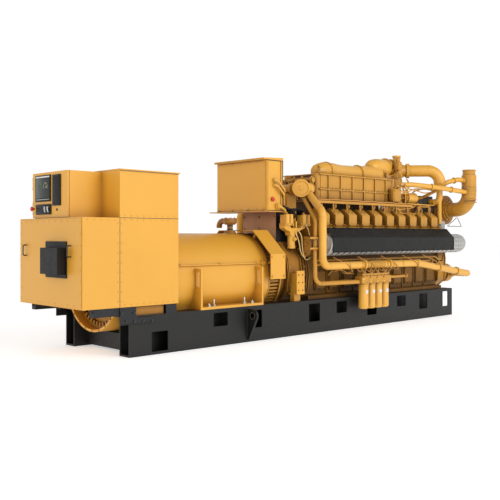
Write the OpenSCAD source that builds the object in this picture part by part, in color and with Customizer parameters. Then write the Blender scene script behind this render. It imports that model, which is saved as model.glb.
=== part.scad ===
// Natural gas generator set: a twenty-cylinder V gas engine coupled to an
// alternator on a common box-section skid, with terminal boxes and a control panel.
// +X runs from the alternator end to the free end of the engine, +Z is up, and
// the origin is the middle of the skid at floor level.

/* [Skid] */
// Length of the skid rails
skid_len = 6160; // [5900:10:6500]
// Distance that each rail stands out past the alternator frame
rail_reach = 104; // [90:1:125]
// Height of a rail
rail_h = 425; // [385:1:465]
// Width of a rail's box section
rail_w = 185; // [165:1:200]
// Thickness of a rail's side plates
rail_web_t = 16; // [10:1:20]
// Thickness of a rail's top and bottom plates
rail_flange_t = 20; // [12:1:24]
// Radius of an anchor hole
anchor_r = 14; // [8:0.5:18]
// Distance from a rail's end to its anchor hole
anchor_inset = 180; // [140:5:220]

/* [Alternator] */
// Outer radius of the alternator frame
gen_r = 538; // [500:1:580]
// Length of the alternator frame
gen_len = 2177; // [2000:1:2300]
// Height of the shaft line above the rails
shaft_rise = 325; // [305:1:345]
// Distance that the frame stands out past the rails' end
gen_overhang = 50; // [20:1:90]
// Length of the louvred screen at the drive end
screen_len = 213; // [190:1:230]

/* [Terminal boxes] */
// Height of the packer between the rails and the boxes
box_packer_h = 101; // [85:1:120]
// Length of the cable box that overhangs the skid
cable_box_len = 436; // [390:1:480]
// Length of the terminal box over the alternator
terminal_box_len = 750; // [690:1:810]
// Height of the cable box and the lower terminal box
lower_box_h = 914; // [880:1:980]
// Height of the upper terminal box
upper_box_h = 488; // [440:1:530]
// Distance from the rails' end to the terminal box's rear face
box_overhang = 124; // [110:1:140]
// Sheet thickness of the boxes
sheet_t = 12; // [6:1:16]

/* [Control panel] */
// Width of the control panel
panel_w = 732; // [680:2:820]
// Height of the control panel
panel_h = 484; // [430:1:486]
// Depth of the control panel's housing
panel_depth = 379; // [340:1:400]
// Thickness of the control panel's door
door_t = 20; // [14:1:26]
// Running gap between the door and its housing
door_gap = 5; // [5:0.5:8]

/* [Engine] */
// Cylinders in each bank
bank_cylinders = 10; // [8:1:10]
// Distance between cylinders
cyl_pitch = 293; // [285:1:300]
// Tilt of each bank from upright
bank_tilt = 30; // [29:0.5:31]
// Distance from the crankshaft to the head joint
deck_h = 560; // [550:1:570]
// Width of a cylinder head across the bank
head_w = 330; // [306:2:336]
// Length of a cylinder head along the bank
head_len = 250; // [225:1:265]
// Height of a cylinder head
head_h = 250; // [236:1:262]
// Length of a rocker cover along the bank
cover_len = 170; // [150:1:200]
// Length of the flywheel housing
flywheel_len = 540; // [500:1:590]
// Length of the gear case at the free end
gear_case_len = 220; // [195:1:245]

/* [Exhaust] */
// Radius of the lagged exhaust manifold
log_r = 145; // [130:1:150]
// Distance of the manifold from the engine's centre plane
log_y = 600; // [595:1:615]
// Height of the manifold above the shaft line
log_rise = 393; // [385:1:400]
// Gap between the manifold and its shield
shield_gap = 8; // [5:1:14]
// Sheet thickness of the shield
shield_t = 4; // [3:0.5:6]

/* [Charge air] */
// Distance by which the aftercooler is shorter than the row of cylinders
cooler_short = 984; // [900:1:1060]
// Width of the aftercooler
cooler_w = 700; // [640:2:740]
// Height of the aftercooler
cooler_h = 380; // [345:1:410]
// Radius of the intake duct on the aftercooler
duct_r = 128; // [115:1:135]
// Radius of the charge air pipes
charge_r = 92; // [84:1:98]
// Distance of each turbocharger inlet leg from the centre plane
inlet_leg_y = 730; // [700:1:760]
// Radius of the air inlet elbows
elbow_r = 116; // [106:1:122]

/* [Services] */
// Radius of the coolant pipes
coolant_r = 50; // [44:1:54]
// Distance of the coolant pipes from the centre plane
coolant_y = 780; // [770:1:800]
// Radius of the oil pipe
oil_r = 29; // [25:1:31]
// Radius of an oil filter
filter_r = 70; // [62:1:74]
// Length of an oil filter
filter_len = 330; // [300:1:340]
// Number of oil filters
filter_count = 4; // [3:1:4]
// Distance between oil filters
filter_pitch = 152; // [150:1:160]
// Radius of the gas pipe
gas_r = 24; // [20:1:26]

/* [Hidden] */
$fn = 64;
seat = 0.3;       // clearance where curved faces meet
weld_r = 2;       // height of a weld ring on a pipe
weld_w = 8;       // width of a weld ring on a pipe
slight_turn = 12; // a pipe that turns less than this has a sleeve for a bend

// Stations along the set
rail_x0 = -skid_len / 2;
rail_x1 = skid_len / 2;
gen_x0 = rail_x0 - gen_overhang;
gen_x1 = gen_x0 + gen_len;
screen_x1 = gen_x1 + screen_len;
block_x0 = screen_x1 + flywheel_len;
first_cyl_x = block_x0 + 340;
last_cyl_x = first_cyl_x + (bank_cylinders - 1) * cyl_pitch;
block_x1 = last_cyl_x + 203;
gear_x1 = block_x1 + gear_case_len;
box_x0 = rail_x0 - box_overhang;
box_x1 = box_x0 + terminal_box_len;
cable_x0 = box_x0 - cable_box_len;
inlet_x = gear_x1 + 250;
riser_x = gear_x1 - 256;
cyl_xs = [for (i = [0:bank_cylinders - 1]) first_cyl_x + i * cyl_pitch];
gap_xs = [for (i = [0:bank_cylinders - 2]) first_cyl_x + (i + 0.5) * cyl_pitch];

// Distances from the centre plane
rail_y0 = gen_r + rail_reach;
rail_y1 = rail_y0 - rail_w;
bracket_t = 12;
box_y = rail_y0 + bracket_t;

// Levels
shaft_z = rail_h + shaft_rise;
gen_top = shaft_z + gen_r;
box_z0 = rail_h + box_packer_h;
box_z1 = box_z0 + lower_box_h;
box_z2 = box_z1 + upper_box_h;
log_z = shaft_z + log_rise;

// ---------------------------------------------------------------- helpers

function unit(v) = v / norm(v);
function column_matrix(x, y, z, o) =
    [[x.x, y.x, z.x, o.x], [x.y, y.y, z.y, o.y], [x.z, y.z, z.z, o.z], [0, 0, 0, 1]];
function frame_along(o, d) =
    let (z = unit(d),
         up = abs(z.z) > 0.9 ? [1, 0, 0] : [0, 0, 1],
         x = unit(cross(up, z)))
    column_matrix(x, cross(z, x), z, o);

// A round bar from a to b.
module rod(a, b, r) {
    multmatrix(frame_along(a, b - a)) cylinder(h = norm(b - a), r = r);
}

// A disc of thickness t centred on p, square to direction d.
module flange(p, d, r, t) {
    rod(p - unit(d) * t / 2, p + unit(d) * t / 2, r);
}

function leg(p, i) = unit(p[i + 1] - p[i]);
function turn(p, i) = acos(max(-1, min(1, leg(p, i - 1) * leg(p, i))));
function cut_back(p, i, bend) =
    i == 0 || i == len(p) - 1 || turn(p, i) < slight_turn ? 0 : bend * tan(turn(p, i) / 2);

// A round pipe along the points p with bends of one radius, welded up with a
// thin ring at the ends of every bend.
module pipe_run(p, r, bend) {
    for (i = [0:len(p) - 2]) {
        a = p[i] + leg(p, i) * cut_back(p, i, bend);
        b = p[i + 1] - leg(p, i) * cut_back(p, i + 1, bend);
        rod(a, b, r);
        if (i > 0 && cut_back(p, i, bend) > 0) flange(a, leg(p, i), r + weld_r, weld_w);
        if (i < len(p) - 2 && cut_back(p, i + 1, bend) > 0) flange(b, leg(p, i), r + weld_r, weld_w);
    }
    for (i = [1:1:len(p) - 2]) if (turn(p, i) < slight_turn)
        flange(p[i], leg(p, i - 1) + leg(p, i), r + 8, r * 1.4);
    else {
        u = leg(p, i - 1);
        n = unit(cross(u, leg(p, i)));
        inward = cross(n, u);
        start = p[i] - u * cut_back(p, i, bend);
        multmatrix(column_matrix(-inward, u, n, start + inward * bend))
            rotate_extrude(angle = turn(p, i)) translate([bend, 0]) circle(r = r);
    }
}

// A block from one corner to the other.
module block(a, b) {
    translate([min(a.x, b.x), min(a.y, b.y), min(a.z, b.z)])
        cube([abs(b.x - a.x), abs(b.y - a.y), abs(b.z - a.z)]);
}

// A plate outline in the YZ plane, drawn out along X from x0 to x1.
module yz_plate(x0, x1, points) {
    translate([x0, 0, 0])
        multmatrix(column_matrix([0, 1, 0], [0, 0, 1], [1, 0, 0], [0, 0, 0]))
            linear_extrude(height = x1 - x0) polygon(points);
}

// A plate outline in the XZ plane, drawn out along Y from y0 to y1.
module xz_plate(y0, y1, points) {
    translate([0, y1, 0]) rotate([90, 0, 0])
        linear_extrude(height = y1 - y0) polygon(points);
}

// The far-side twin of a near-side piece.
module both_sides() {
    children();
    mirror([0, 1, 0]) children();
}

// A solid of revolution about an X line; profile points are [x, radius].
module lathe_x(y, z, points) {
    translate([0, y, z]) rotate([0, 90, 0])
        rotate_extrude() polygon([for (p = points) [p[1], p[0]]]);
}

// The round space that a cradle leaves for the alternator frame.
module frame_space() {
    lathe_x(0, shaft_z, [[gen_x0 - 1, 0], [gen_x0 - 1, gen_r + seat],
        [gen_x1 + 1, gen_r + seat], [gen_x1 + 1, 0]], $fn = 180);
}

// Closes a symmetric outline from its near half.
function mirrored(half) =
    concat(half, [for (i = [len(half) - 1:-1:0]) [-half[i][0], half[i][1]]]);

module round_rect(w, h, r) {
    polygon([for (c = [[w - r, h - r, 0], [r, h - r, 90], [r, r, 180], [w - r, r, 270]])
        for (a = [0:30:90]) [c[0] + r * cos(c[2] + a), c[1] + r * sin(c[2] + a)]]);
}

// Bank frame: +Z along the cylinders, +Y towards the valley, -Y outwards.
module bank(x = 0) {
    translate([x, 0, shaft_z]) rotate([bank_tilt, 0, 0]) children();
}
function bank_point(a, h) =
    [-h * sin(bank_tilt) - a * cos(bank_tilt),
     shaft_z + h * cos(bank_tilt) - a * sin(bank_tilt)];

// ------------------------------------------------------------------- skid

window_w = 215;
window_round = 14;
tall_window = [150, 232];    // height of its sill, height of the window
short_window = [225, 155];
windows = [for (w = [
        [-2692, [31, 211]], [-1834, short_window], [-1282, [160, 210]],
        [-224, tall_window], [327, short_window], [990, tall_window],
        [1694, short_window], [2268, tall_window], [2858, tall_window]])
    [w[0] / 3080 * skid_len / 2, w[1][0] / 425 * rail_h, w[1][1] / 425 * rail_h]];

// Box-section rail, open at its ends, with windows in its outer side plate.
module rail() {
    color("#3a3a38") difference() {
        block([rail_x0, -rail_y0, 0], [rail_x1, -rail_y1, rail_h]);
        block([rail_x0 - 1, -rail_y0 + rail_web_t, rail_flange_t],
              [rail_x1 + 1, -rail_y1 - rail_web_t, rail_h - rail_flange_t]);
        for (w = windows)
            translate([w[0] - window_w / 2, -rail_y0 + rail_web_t + 1, w[1]]) rotate([90, 0, 0])
                linear_extrude(height = rail_web_t + 2) round_rect(window_w, w[2], window_round);
        for (x = [rail_x0 + anchor_inset, rail_x1 - anchor_inset])
            translate([x, -(rail_y0 + rail_y1) / 2, -1])
                cylinder(r = anchor_r, h = rail_flange_t + 2);
    }
}
module rail_near() { rail(); }
module rail_far() { mirror([0, 1, 0]) rail(); }

// Channels between the rails, below the alternator and the sump.
frame_clear = 12;
cross_h = shaft_z - gen_r - frame_clear - rail_flange_t;
cross_w = 110;
cross_t = 12;
module cross_members() {
    color("#2f2f2d") for (f = [-0.93, -0.7, -0.5, -0.16, 0.16, 0.44, 0.64, 0.84])
        translate([f * skid_len / 2, 0, rail_flange_t]) difference() {
            block([-cross_w / 2, -rail_y1, 0], [cross_w / 2, rail_y1, cross_h]);
            block([-cross_w / 2 + cross_t, -rail_y1 - 1, cross_t],
                  [cross_w / 2 + 1, rail_y1 + 1, cross_h - cross_t]);
        }
}

// Lifting eyes: a plate that tapers down the rail from a round eye.
lug_x = rail_x0 + 1680;
lug_t = 30;
lug_hole_r = 32;
lug_eye_r = 74;
lug_eye = [-rail_y0 - 85, rail_h - 107];
lug_toe = [-rail_y0 - 20, 30];
// Where a line from b just touches the left of a circle about c
function touch_point(c, r, b) =
    let (u = unit(b - c), k = r / norm(b - c), s = sqrt(1 - k * k))
    c + r * [u.x * k + u.y * s, u.y * k - u.x * s];
module lifting_lugs() {
    both_sides() color("#30302e") difference() {
        union() {
            yz_plate(lug_x - lug_t / 2, lug_x + lug_t / 2,
                [[-rail_y0, lug_toe.y], [-rail_y0, lug_eye.y + lug_eye_r],
                 lug_eye + [0, lug_eye_r], touch_point(lug_eye, lug_eye_r, lug_toe), lug_toe]);
            translate([lug_x - lug_t / 2, lug_eye.x, lug_eye.y])
                rotate([0, 90, 0]) cylinder(r = lug_eye_r, h = lug_t);
        }
        translate([lug_x - lug_t, lug_eye.x, lug_eye.y])
            rotate([0, 90, 0]) cylinder(r = lug_hole_r, h = lug_t * 2);
    }
}

// Beams that carry the boxes past the end of the skid, each with a gusset
// bolted to the rail's face, and a packer under the boxes' other end.
bracket_w = 82;
module box_brackets() {
    seat_x1 = box_x0 + 197;
    gusset_z0 = rail_h - 79;
    both_sides() color("#3d4046") {
        block([cable_x0 + 136, -rail_y0, rail_h + 15], [box_x0, -rail_y0 + bracket_w, box_z0]);
        block([box_x0 - 1, -rail_y0, rail_h], [seat_x1, -rail_y0 + bracket_w, box_z0]);
        xz_plate(-rail_y0 - bracket_t, -rail_y0,
            [[box_x0 + 2, gusset_z0], [box_x0 + 414, gusset_z0], [box_x0 + 414, rail_h - 22],
             [seat_x1 + 24, rail_h - 14], [seat_x1, rail_h + 10], [seat_x1, box_z0], [box_x0 + 2, box_z0]]);
        block([box_x1 - 156, -rail_y0, rail_h], [box_x1 - 18, -rail_y0 + 130, box_z0]);
    }
}

// ------------------------------------------------------------- alternator

ring_depth = 150;
ring_t = 26;
module generator_frame() {
    color("#eba93c") difference() {
        union() {
            lathe_x(0, shaft_z, [[gen_x0, 0], [gen_x0, gen_r], [gen_x1, gen_r], [gen_x1, 0]]);
            // Split-line ledge along each side, with a bolt pad at its end
            for (s = [-1, 1]) {
                translate([box_x1 + 3, s * (gen_r - 26) - 20, shaft_z + 168])
                    cube([gen_x1 - box_x1 - 60, 40, 12]);
                translate([gen_x1 - 117, s * (gen_r - 30) - 26, shaft_z + 146])
                    cube([62, 52, 52]);
            }
        }
        lathe_x(0, shaft_z, [[gen_x0 - 1, 0], [gen_x0 - 1, gen_r - ring_t],
            [gen_x0 + ring_depth, gen_r - ring_t], [gen_x0 + ring_depth, 0]]);
    }
}

// Toothed air ring inside the open end of the frame.
ring_teeth = 48;
module generator_end_ring() {
    outer = gen_r - ring_t;
    step = 360 / ring_teeth;
    color("#b07a2a") translate([gen_x0 + ring_depth - 60, 0, shaft_z]) rotate([0, 90, 0])
        difference() {
            cylinder(r = outer - seat, h = 60);
            translate([0, 0, -1]) linear_extrude(height = 41)
                polygon([for (i = [0:ring_teeth - 1]) for (k = [0:3])
                    let (r = k == 1 || k == 2 ? outer - 34 : outer - 74,
                         a = (i + [0, 0.12, 0.5, 0.62][k]) * step)
                    [r * cos(a), r * sin(a)]]);
        }
}

// Pads that carry the frame's rear end on the rails.
module generator_pads() {
    both_sides() color("#d2952f") difference() {
        block([box_x0 + 214, -rail_y0 + 30, rail_h], [box_x1 - 170, -rail_y1 + 60, box_z0 + 40]);
        frame_space();
    }
}

// Feet: a base plate on the rail between two gussets that have slots.
foot_x0 = gen_x0 + 1003;
foot_x1 = gen_x1 - 197;
foot_plate_t = 28;
foot_h = 460;
gusset_t = 26;
module generator_feet() {
    z0 = rail_h;
    slot_w = 0.54 * rail_reach;
    both_sides() color("#eba93c") difference() {
        union() {
            block([foot_x0, -rail_y0, z0], [foot_x1, -rail_y1 + 70, z0 + foot_plate_t]);
            for (x = [foot_x0, foot_x1 - gusset_t])
                block([x, -rail_y0, z0], [x + gusset_t, -rail_y1 + 70, z0 + foot_h]);
        }
        for (x = [foot_x0, foot_x1 - gusset_t])
            block([x - 1, -rail_y0 + rail_reach / 4, z0 + 250],
                  [x + gusset_t + 1, -rail_y0 + rail_reach / 4 + slot_w, z0 + foot_h - 36]);
        frame_space();
    }
}

screen_r = gen_r - 18;
screen_lip_r = gen_r + 4;
screen_slats = 72;
module drive_end_screen() {
    step = 360 / screen_slats;
    lip = 20;
    color("#c48a2c") {
        for (x = [gen_x1, screen_x1 - lip])
            lathe_x(0, shaft_z, [[x, 0], [x, screen_lip_r], [x + lip, screen_lip_r], [x + lip, 0]]);
        translate([gen_x1 + lip / 2, 0, shaft_z]) rotate([0, 90, 0])
            linear_extrude(height = screen_len - lip)
                polygon([for (i = [0:screen_slats - 1]) for (k = [0:3])
                    let (r = k == 1 || k == 2 ? screen_r : screen_r - 26,
                         a = (i + [0, 0.02, 0.5, 0.52][k]) * step)
                    [r * cos(a), r * sin(a)]]);
    }
}

// Faceted guard over the upper half of the drive-end screen.
guard_t = 10;
guard_w = 255;
guard_x0 = gen_x1 - 69;
function guard_outline(inset) =
    let (y = rail_y0 - inset, c = inset * tan(22.5))
    mirrored([[-y, shaft_z - 24], [-y, shaft_z + 0.528 * gen_r - c],
              [-0.602 * gen_r + c * 0.6, gen_top + 42 - inset]]);
function guard_inside() =
    concat([[-rail_y0 + guard_t, 0]], guard_outline(guard_t), [[rail_y0 - guard_t, 0]]);
module drive_end_cover() {
    color("#eba93c") {
        difference() {
            yz_plate(guard_x0, guard_x0 + guard_w, guard_outline(0));
            yz_plate(guard_x0 - 1, guard_x0 + guard_w + 1, guard_inside());
        }
        // Stand-offs from the screen's lip
        for (a = [18, 62, 118, 162])
            translate([gen_x1 + 3, 0, shaft_z]) rotate([a - 90, 0, 0])
                difference() {
                    translate([0, -12, screen_lip_r + seat]) cube([14, 24, 400]);
                    rotate([90 - a, 0, 0]) translate([0, 0, -shaft_z])
                        difference() {
                            block([-1, -1400, 0], [15, 1400, 2600]);
                            yz_plate(-2, 16, guard_inside());
                        }
                }
    }
}

// --------------------------------------------------------- terminal boxes

// Cable box with a removable cover plate on its rear face.
cover_lip = 14;
cover_t = 5;
module cable_box() {
    color("#eba93c") {
        block([cable_x0 + cover_t, -box_y, box_z0], [box_x0, box_y, box_z1]);
        block([cable_x0, -box_y + cover_lip, box_z0 + cover_lip],
              [cable_x0 + cover_t, box_y - cover_lip, box_z1 - cover_lip]);
    }
}

// Rain hood on its backing plate, open underneath.
hood_reach = 104;
hood_t = 4;
hood_y0 = -353;
hood_y1 = -3;
module cable_vent_hood() {
    x0 = cable_x0 - hood_reach;
    x1 = cable_x0 - 12;
    z0 = box_z0 + 340;
    z1 = box_z0 + 609;
    color("#2b2b2b") {
        block([x1, hood_y0 - 14, z0 - 38], [cable_x0, hood_y1 + 58, z1 + 64]);
        difference() {
            block([x0, hood_y0, z0], [x1, hood_y1, z1]);
            block([x0 + hood_t, hood_y0 + hood_t, z0 - 1], [x1 + 1, hood_y1 - hood_t, z1 - hood_t]);
        }
    }
}

handle_r = 6;
module cable_box_handles() {
    reach = 45;
    color("#1c1c1c") for (y = [-445, 491]) {
        p = [cable_x0, y, box_z0 + 519];
        pipe_run([p, p + [-reach, 0, 0], p + [-reach, 0, 112], p + [0, 0, 112]], handle_r, 16);
    }
}

// Sheet-metal box that sits over the alternator frame, open underneath.
module terminal_box_lower() {
    color("#eba93c") difference() {
        block([box_x0, -box_y, box_z0], [box_x1, box_y, box_z1]);
        block([box_x0 + sheet_t, -box_y + sheet_t, box_z0 - 1],
              [box_x1 - sheet_t, box_y - sheet_t, box_z1 - sheet_t]);
        lathe_x(0, shaft_z, [[box_x0 + 20, 0], [box_x0 + 20, gen_r + 6], [box_x1 + 9, gen_r + 6], [box_x1 + 9, 0]]);
    }
}

roof_t = 12;
module terminal_box_upper() {
    color("#eba93c") {
        block([box_x0, -box_y, box_z1], [box_x1, box_y, box_z2]);
        block([box_x0 - 4, -box_y - 8, box_z2], [box_x1 + 22, box_y + 8, box_z2 + roof_t]);
    }
}

// ---------------------------------------------------------- control panel

panel_mid_y = 50;
panel_y0 = panel_mid_y - panel_w / 2;
panel_y1 = panel_mid_y + panel_w / 2;
panel_z0 = box_z1;
panel_z1 = box_z1 + panel_h;
panel_x0 = box_x0 - panel_depth;
panel_wall = 10;
module control_panel_housing() {
    color("#eba93c") difference() {
        block([panel_x0, panel_y0, panel_z0], [box_x0, panel_y1, panel_z1]);
        block([panel_x0 - 1, panel_y0 + panel_wall, panel_z0 + panel_wall],
              [box_x0 - panel_wall, panel_y1 - panel_wall, panel_z1 - panel_wall]);
    }
}

hinge_pin_r = 4;
hinge_barrel_r = 8;
hinge_barrel_h = 60;
hinge_play = 0.06;
hinge_x = panel_x0 - door_gap - door_t / 2;
hinge_y = panel_y1 + hinge_barrel_r + 1;
hinge_zs = [panel_z0 + 80, panel_z1 - 80 - hinge_barrel_h];
module control_panel_hinges() {
    color("#3c3c3c") for (z = hinge_zs) {
        translate([hinge_x, hinge_y, z - 40]) cylinder(r = hinge_pin_r, h = hinge_barrel_h + 80);
        for (dz = [-40, hinge_barrel_h + 2])
            translate([hinge_x, hinge_y, z + dz]) {
                cylinder(r = hinge_barrel_r, h = 38);
                block([0, -3, 0], [panel_x0 + 50 - hinge_x, 3, 38]);
                block([panel_x0 - hinge_x + 3, panel_y1 - hinge_y, 0],
                      [panel_x0 + 50 - hinge_x, 0, 38]);
            }
    }
}

// Folded door with raised frames for the display, the vent and the switches.
frame_out = 5;
door_frames = [[panel_mid_y - 32, 328, 179, 275], [panel_mid_y - 239, 165, 131, 317],
               [panel_mid_y - 42, 324, 43, 104]];   // left, width, sill, height
module control_panel_door() {
    x1 = panel_x0 - door_gap;
    color("#eba93c") difference() {
        union() {
            block([x1 - door_t, panel_y0, panel_z0 + 6], [x1, panel_y1, panel_z1]);
            for (f = door_frames)
                block([x1 - door_t - frame_out, f[0], panel_z0 + f[2]],
                      [x1 - door_t, f[0] + f[1], panel_z0 + f[2] + f[3]]);
            for (z = hinge_zs) translate([hinge_x, hinge_y, z]) {
                cylinder(r = hinge_barrel_r, h = hinge_barrel_h);
                block([-4, panel_y1 - hinge_y, 0], [4, 0, hinge_barrel_h]);
            }
        }
        for (z = hinge_zs) translate([hinge_x, hinge_y, z - 1])
            cylinder(r = hinge_pin_r + hinge_play, h = hinge_barrel_h + 2);
    }
}

// ----------------------------------------------------- engine junction box

fly_top = 430;                 // top of the flywheel housing above the shaft
pedestal_top = shaft_z + 810;
pedestal_x0 = screen_x1 + 140;
pedestal_x1 = pedestal_x0 + 270;
junction_x0 = screen_x1 - 194;
junction_x1 = junction_x0 + 304;
junction_y = 459;
junction_h = 640;
base_t = 12;
// Pedestal on the flywheel housing, with the plate that the box stands on.
module junction_stand() {
    color("#a8763c") {
        block([pedestal_x0, -308, shaft_z + fly_top], [pedestal_x1, 308, pedestal_top]);
        block([junction_x1, -290, pedestal_top], [pedestal_x1, 290, pedestal_top + base_t]);
        block([junction_x0 - 26, -junction_y - 10, pedestal_top],
              [junction_x1 + 8, junction_y + 127, pedestal_top + base_t]);
    }
}
module junction_box() {
    z0 = pedestal_top + base_t;
    z1 = z0 + junction_h;
    color("#eba93c") {
        block([junction_x0 + 5, -junction_y, z0], [junction_x1, junction_y, z1]);
        // Cover plate on the rear face
        block([junction_x0, -junction_y + 10, z0 + 10], [junction_x0 + 5, junction_y - 10, z1 - 10]);
        // Rain hood, sloped to the rear
        xz_plate(-junction_y - 6, junction_y + 6,
            [[junction_x0 - 40, z1], [junction_x1 + 6, z1], [junction_x1 + 6, z1 + 36],
             [junction_x0 - 40, z1 + 20]]);
    }
}

// ----------------------------------------------------------------- engine

// Half outline of the flywheel housing, grown outwards by g.
function fly_outline(g) = mirrored([[-400 - g, shaft_z - 310], [-500 - g, shaft_z - 190],
    [-520 - g, shaft_z + 10], [-490 - g, shaft_z + 210 + g * 0.4], [-330 - g * 0.6, shaft_z + fly_top]]);
fly_cover_r = 135;
module flywheel_housing() {
    neck = 130;
    color("#d2952f") {
        lathe_x(0, shaft_z, [[screen_x1, 0], [screen_x1, 500], [screen_x1 + 24, 500],
            [screen_x1 + 24, 470], [screen_x1 + neck, 470], [screen_x1 + neck, 0]]);
        yz_plate(screen_x1 + neck - 1, block_x0, fly_outline(0));
        // Rims and ribs around the housing
        for (x = [neck, neck + 28, flywheel_len - 160, flywheel_len - 110, flywheel_len - 60, flywheel_len - 18])
            yz_plate(screen_x1 + x, screen_x1 + x + 14, fly_outline(18));
        // Round gear covers on the shoulders
        both_sides() lathe_x(-520, shaft_z + 370, [[block_x0 - 128, 0], [block_x0 - 128, 70],
            [block_x0 - 112, 104], [block_x0 - 112, fly_cover_r - 12], [block_x0 - 96, fly_cover_r],
            [block_x0 - 14, fly_cover_r], [block_x0 - 14, fly_cover_r + 8], [block_x0, fly_cover_r + 8],
            [block_x0, 0]]);
    }
}

// Brackets with six bolt holes that stand the flywheel housing on the rails.
mount_x0 = screen_x1 + 184;
mount_x1 = mount_x0 + 140;
module engine_mounts() {
    z0 = rail_h + 90;
    z1 = rail_h + 388;
    both_sides() color("#e3a238") difference() {
        union() {
            block([mount_x0, -rail_y0, z0], [mount_x1, -rail_y0 + 22, z1]);
            block([mount_x0 + 16, -rail_y0 + 22, z0 + 20], [mount_x1 - 16, -510, z1 - 34]);
            block([mount_x0 + 16, -rail_y0 + 60, rail_h], [mount_x1 - 16, -510, z0 + 20]);
        }
        for (x = [mount_x0 + 33, mount_x1 - 33]) for (z = [51, 149, 247])
            translate([x, -rail_y0 - 1, z0 + z]) rotate([-90, 0, 0]) cylinder(r = 11, h = 18);
        yz_plate(mount_x0 - 50, mount_x1 + 50, fly_outline(seat));
    }
}

pan_flange_z = rail_h + 42;
side_y = 400;
rib_out = 14;
deck_out = bank_point(head_w / 2, deck_h);
deck_in = bank_point(-head_w / 2, deck_h);
valley_z = deck_in[1] + 12;
module crankcase() {
    foot_y = rail_y1 + 50;
    color("#c48a2c") {
        yz_plate(block_x0, block_x1, mirrored([[-foot_y, rail_h], [-foot_y, pan_flange_z],
            [-side_y, pan_flange_z + 12], [-side_y, shaft_z + 110], [deck_out[0] + 20, shaft_z + 250],
            deck_out, deck_in, [deck_in[0] + 8, valley_z]]));
        // Stiffening ribs between the inspection covers
        both_sides() for (x = gap_xs)
            block([x - 11, -side_y - rib_out, pan_flange_z], [x + 11, -side_y + 1, shaft_z + 100]);
    }
    color("#b98228") {
        // Sump between the rails
        block([block_x0 + 60, -rail_y1 + 60, shaft_z - 500], [block_x1 - 60, rail_y1 - 60, rail_h + 1]);
        // Air chest along the valley
        block([cooler_x0 + 20, -120, valley_z - 1], [cooler_x1 - 20, 120, cooler_z0]);
    }
}

// Round-cornered inspection covers, one to a cylinder on each side.
module crankcase_covers() {
    w = 230;
    h = 270;
    both_sides() color("#d2952f") for (x = cyl_xs)
        translate([x - w / 2, -side_y, shaft_z - 220]) rotate([90, 0, 0]) {
            linear_extrude(height = 16) round_rect(w, h, 40);
            translate([22, 22, 15]) linear_extrude(height = 13) round_rect(w - 44, h - 44, 26);
        }
}

module cylinder_heads() {
    both_sides() color("#c98f2e") for (x = cyl_xs) bank(x)
        block([-head_len / 2, -head_w / 2, deck_h], [head_len / 2, head_w / 2, deck_h + head_h]);
}

// Rocker covers: an upright outer face, a flat crown and a rounded inner edge.
module rocker_covers() {
    z0 = deck_h + head_h;
    w = head_w / 2 - 34;
    flange_t = 16;
    crown = 144;
    upright = (crown - 26) * tan(bank_tilt);
    both_sides() color("#e3a238") for (x = cyl_xs) bank(x) {
        block([-cover_len / 2 - 12, -w, z0], [cover_len / 2 + 12, w, z0 + flange_t]);
        yz_plate(-cover_len / 2, cover_len / 2,
            [[-w + 14, z0 + flange_t - 1], [-w + 8 + upright, z0 + crown - 16],
             [-w + 18 + upright, z0 + crown - 8], [w - 42, z0 + crown + 10],
             [w - 20, z0 + crown + 2], [w - 10, z0 + crown - 20], [w - 6, z0 + flange_t - 1]]);
    }
}

// ---------------------------------------------------------------- exhaust

log_x0 = first_cyl_x - 128;
log_x1 = last_cyl_x + 160;
log_bend = 230;
collector_y = 300;
port_h = deck_h + 70;
module exhaust_manifolds() {
    both_sides() color("#b9b9b4") {
        pipe_run([[log_x0 + 6, -log_y, log_z], [inlet_x, -log_y, log_z],
                  [inlet_x, -collector_y, log_z]], log_r, log_bend);
        // One port to a cylinder, square to its head
        for (x = cyl_xs) bank(x)
            rod([0, -head_w / 2 - seat, port_h], [0, -head_w / 2 - 130, port_h], 42);
    }
}

shield_y = log_y + log_r + shield_gap;
shield_top_z = log_z + 225;
shield_bottom_z = log_z - 107;
module manifold_shields() {
    y = -shield_y;
    outline = [[y + 125, shield_top_z], [y, shield_top_z - 133], [y, shield_bottom_z]];
    both_sides() color("#2e2e2e") {
        yz_plate(log_x0, log_x1 + 12, concat(outline,
            [for (i = [2:-1:0]) outline[i] + [shield_t, i == 0 ? -shield_t * 1.4 : 0]]));
        // Straps that seat the shield on the lagging
        for (x = cyl_xs) difference() {
            block([x + 96, y + shield_t / 2, log_z - 50], [x + 132, -log_y - log_r * 0.8, log_z + 50]);
            lathe_x(-log_y, log_z, [[log_x0 - 50, 0], [log_x0 - 50, log_r + seat],
                [log_x1 + 50, log_r + seat], [log_x1 + 50, 0]], $fn = 180);
        }
    }
}

// ------------------------------------------------------------- charge air

cooler_len = (bank_cylinders - 1) * cyl_pitch - cooler_short;
cooler_z0 = shaft_z + 983;
cooler_x0 = block_x0 + 418;
cooler_x1 = cooler_x0 + cooler_len;
cooler_z1 = cooler_z0 + cooler_h;
rib = 16;
rib_count = 6;
header_r = 74;
header_y = cooler_w / 2 - 96;
module aftercooler() {
    w = cooler_w / 2;
    rib_x0 = cooler_x0 + 180;
    color("#e3a238") {
        block([cooler_x0 + 30, -w + rib, cooler_z0], [cooler_x1, w - rib, cooler_z1]);
        for (z = [0, 0.42 * cooler_h, cooler_h - rib])
            block([cooler_x0, -w, cooler_z0 + z], [cooler_x1, w, cooler_z0 + z + rib]);
        for (i = [0:rib_count - 1]) {
            x = rib_x0 + i * (cooler_x1 - 160 - rib_x0) / (rib_count - 1);
            block([x, -w, cooler_z0], [x + rib, w, cooler_z1]);
        }
        // Rounded water header at the rear end
        both_sides() translate([cooler_x0 + 34, -header_y, cooler_z0])
            cylinder(r = header_r, h = cooler_h);
    }
}

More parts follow.
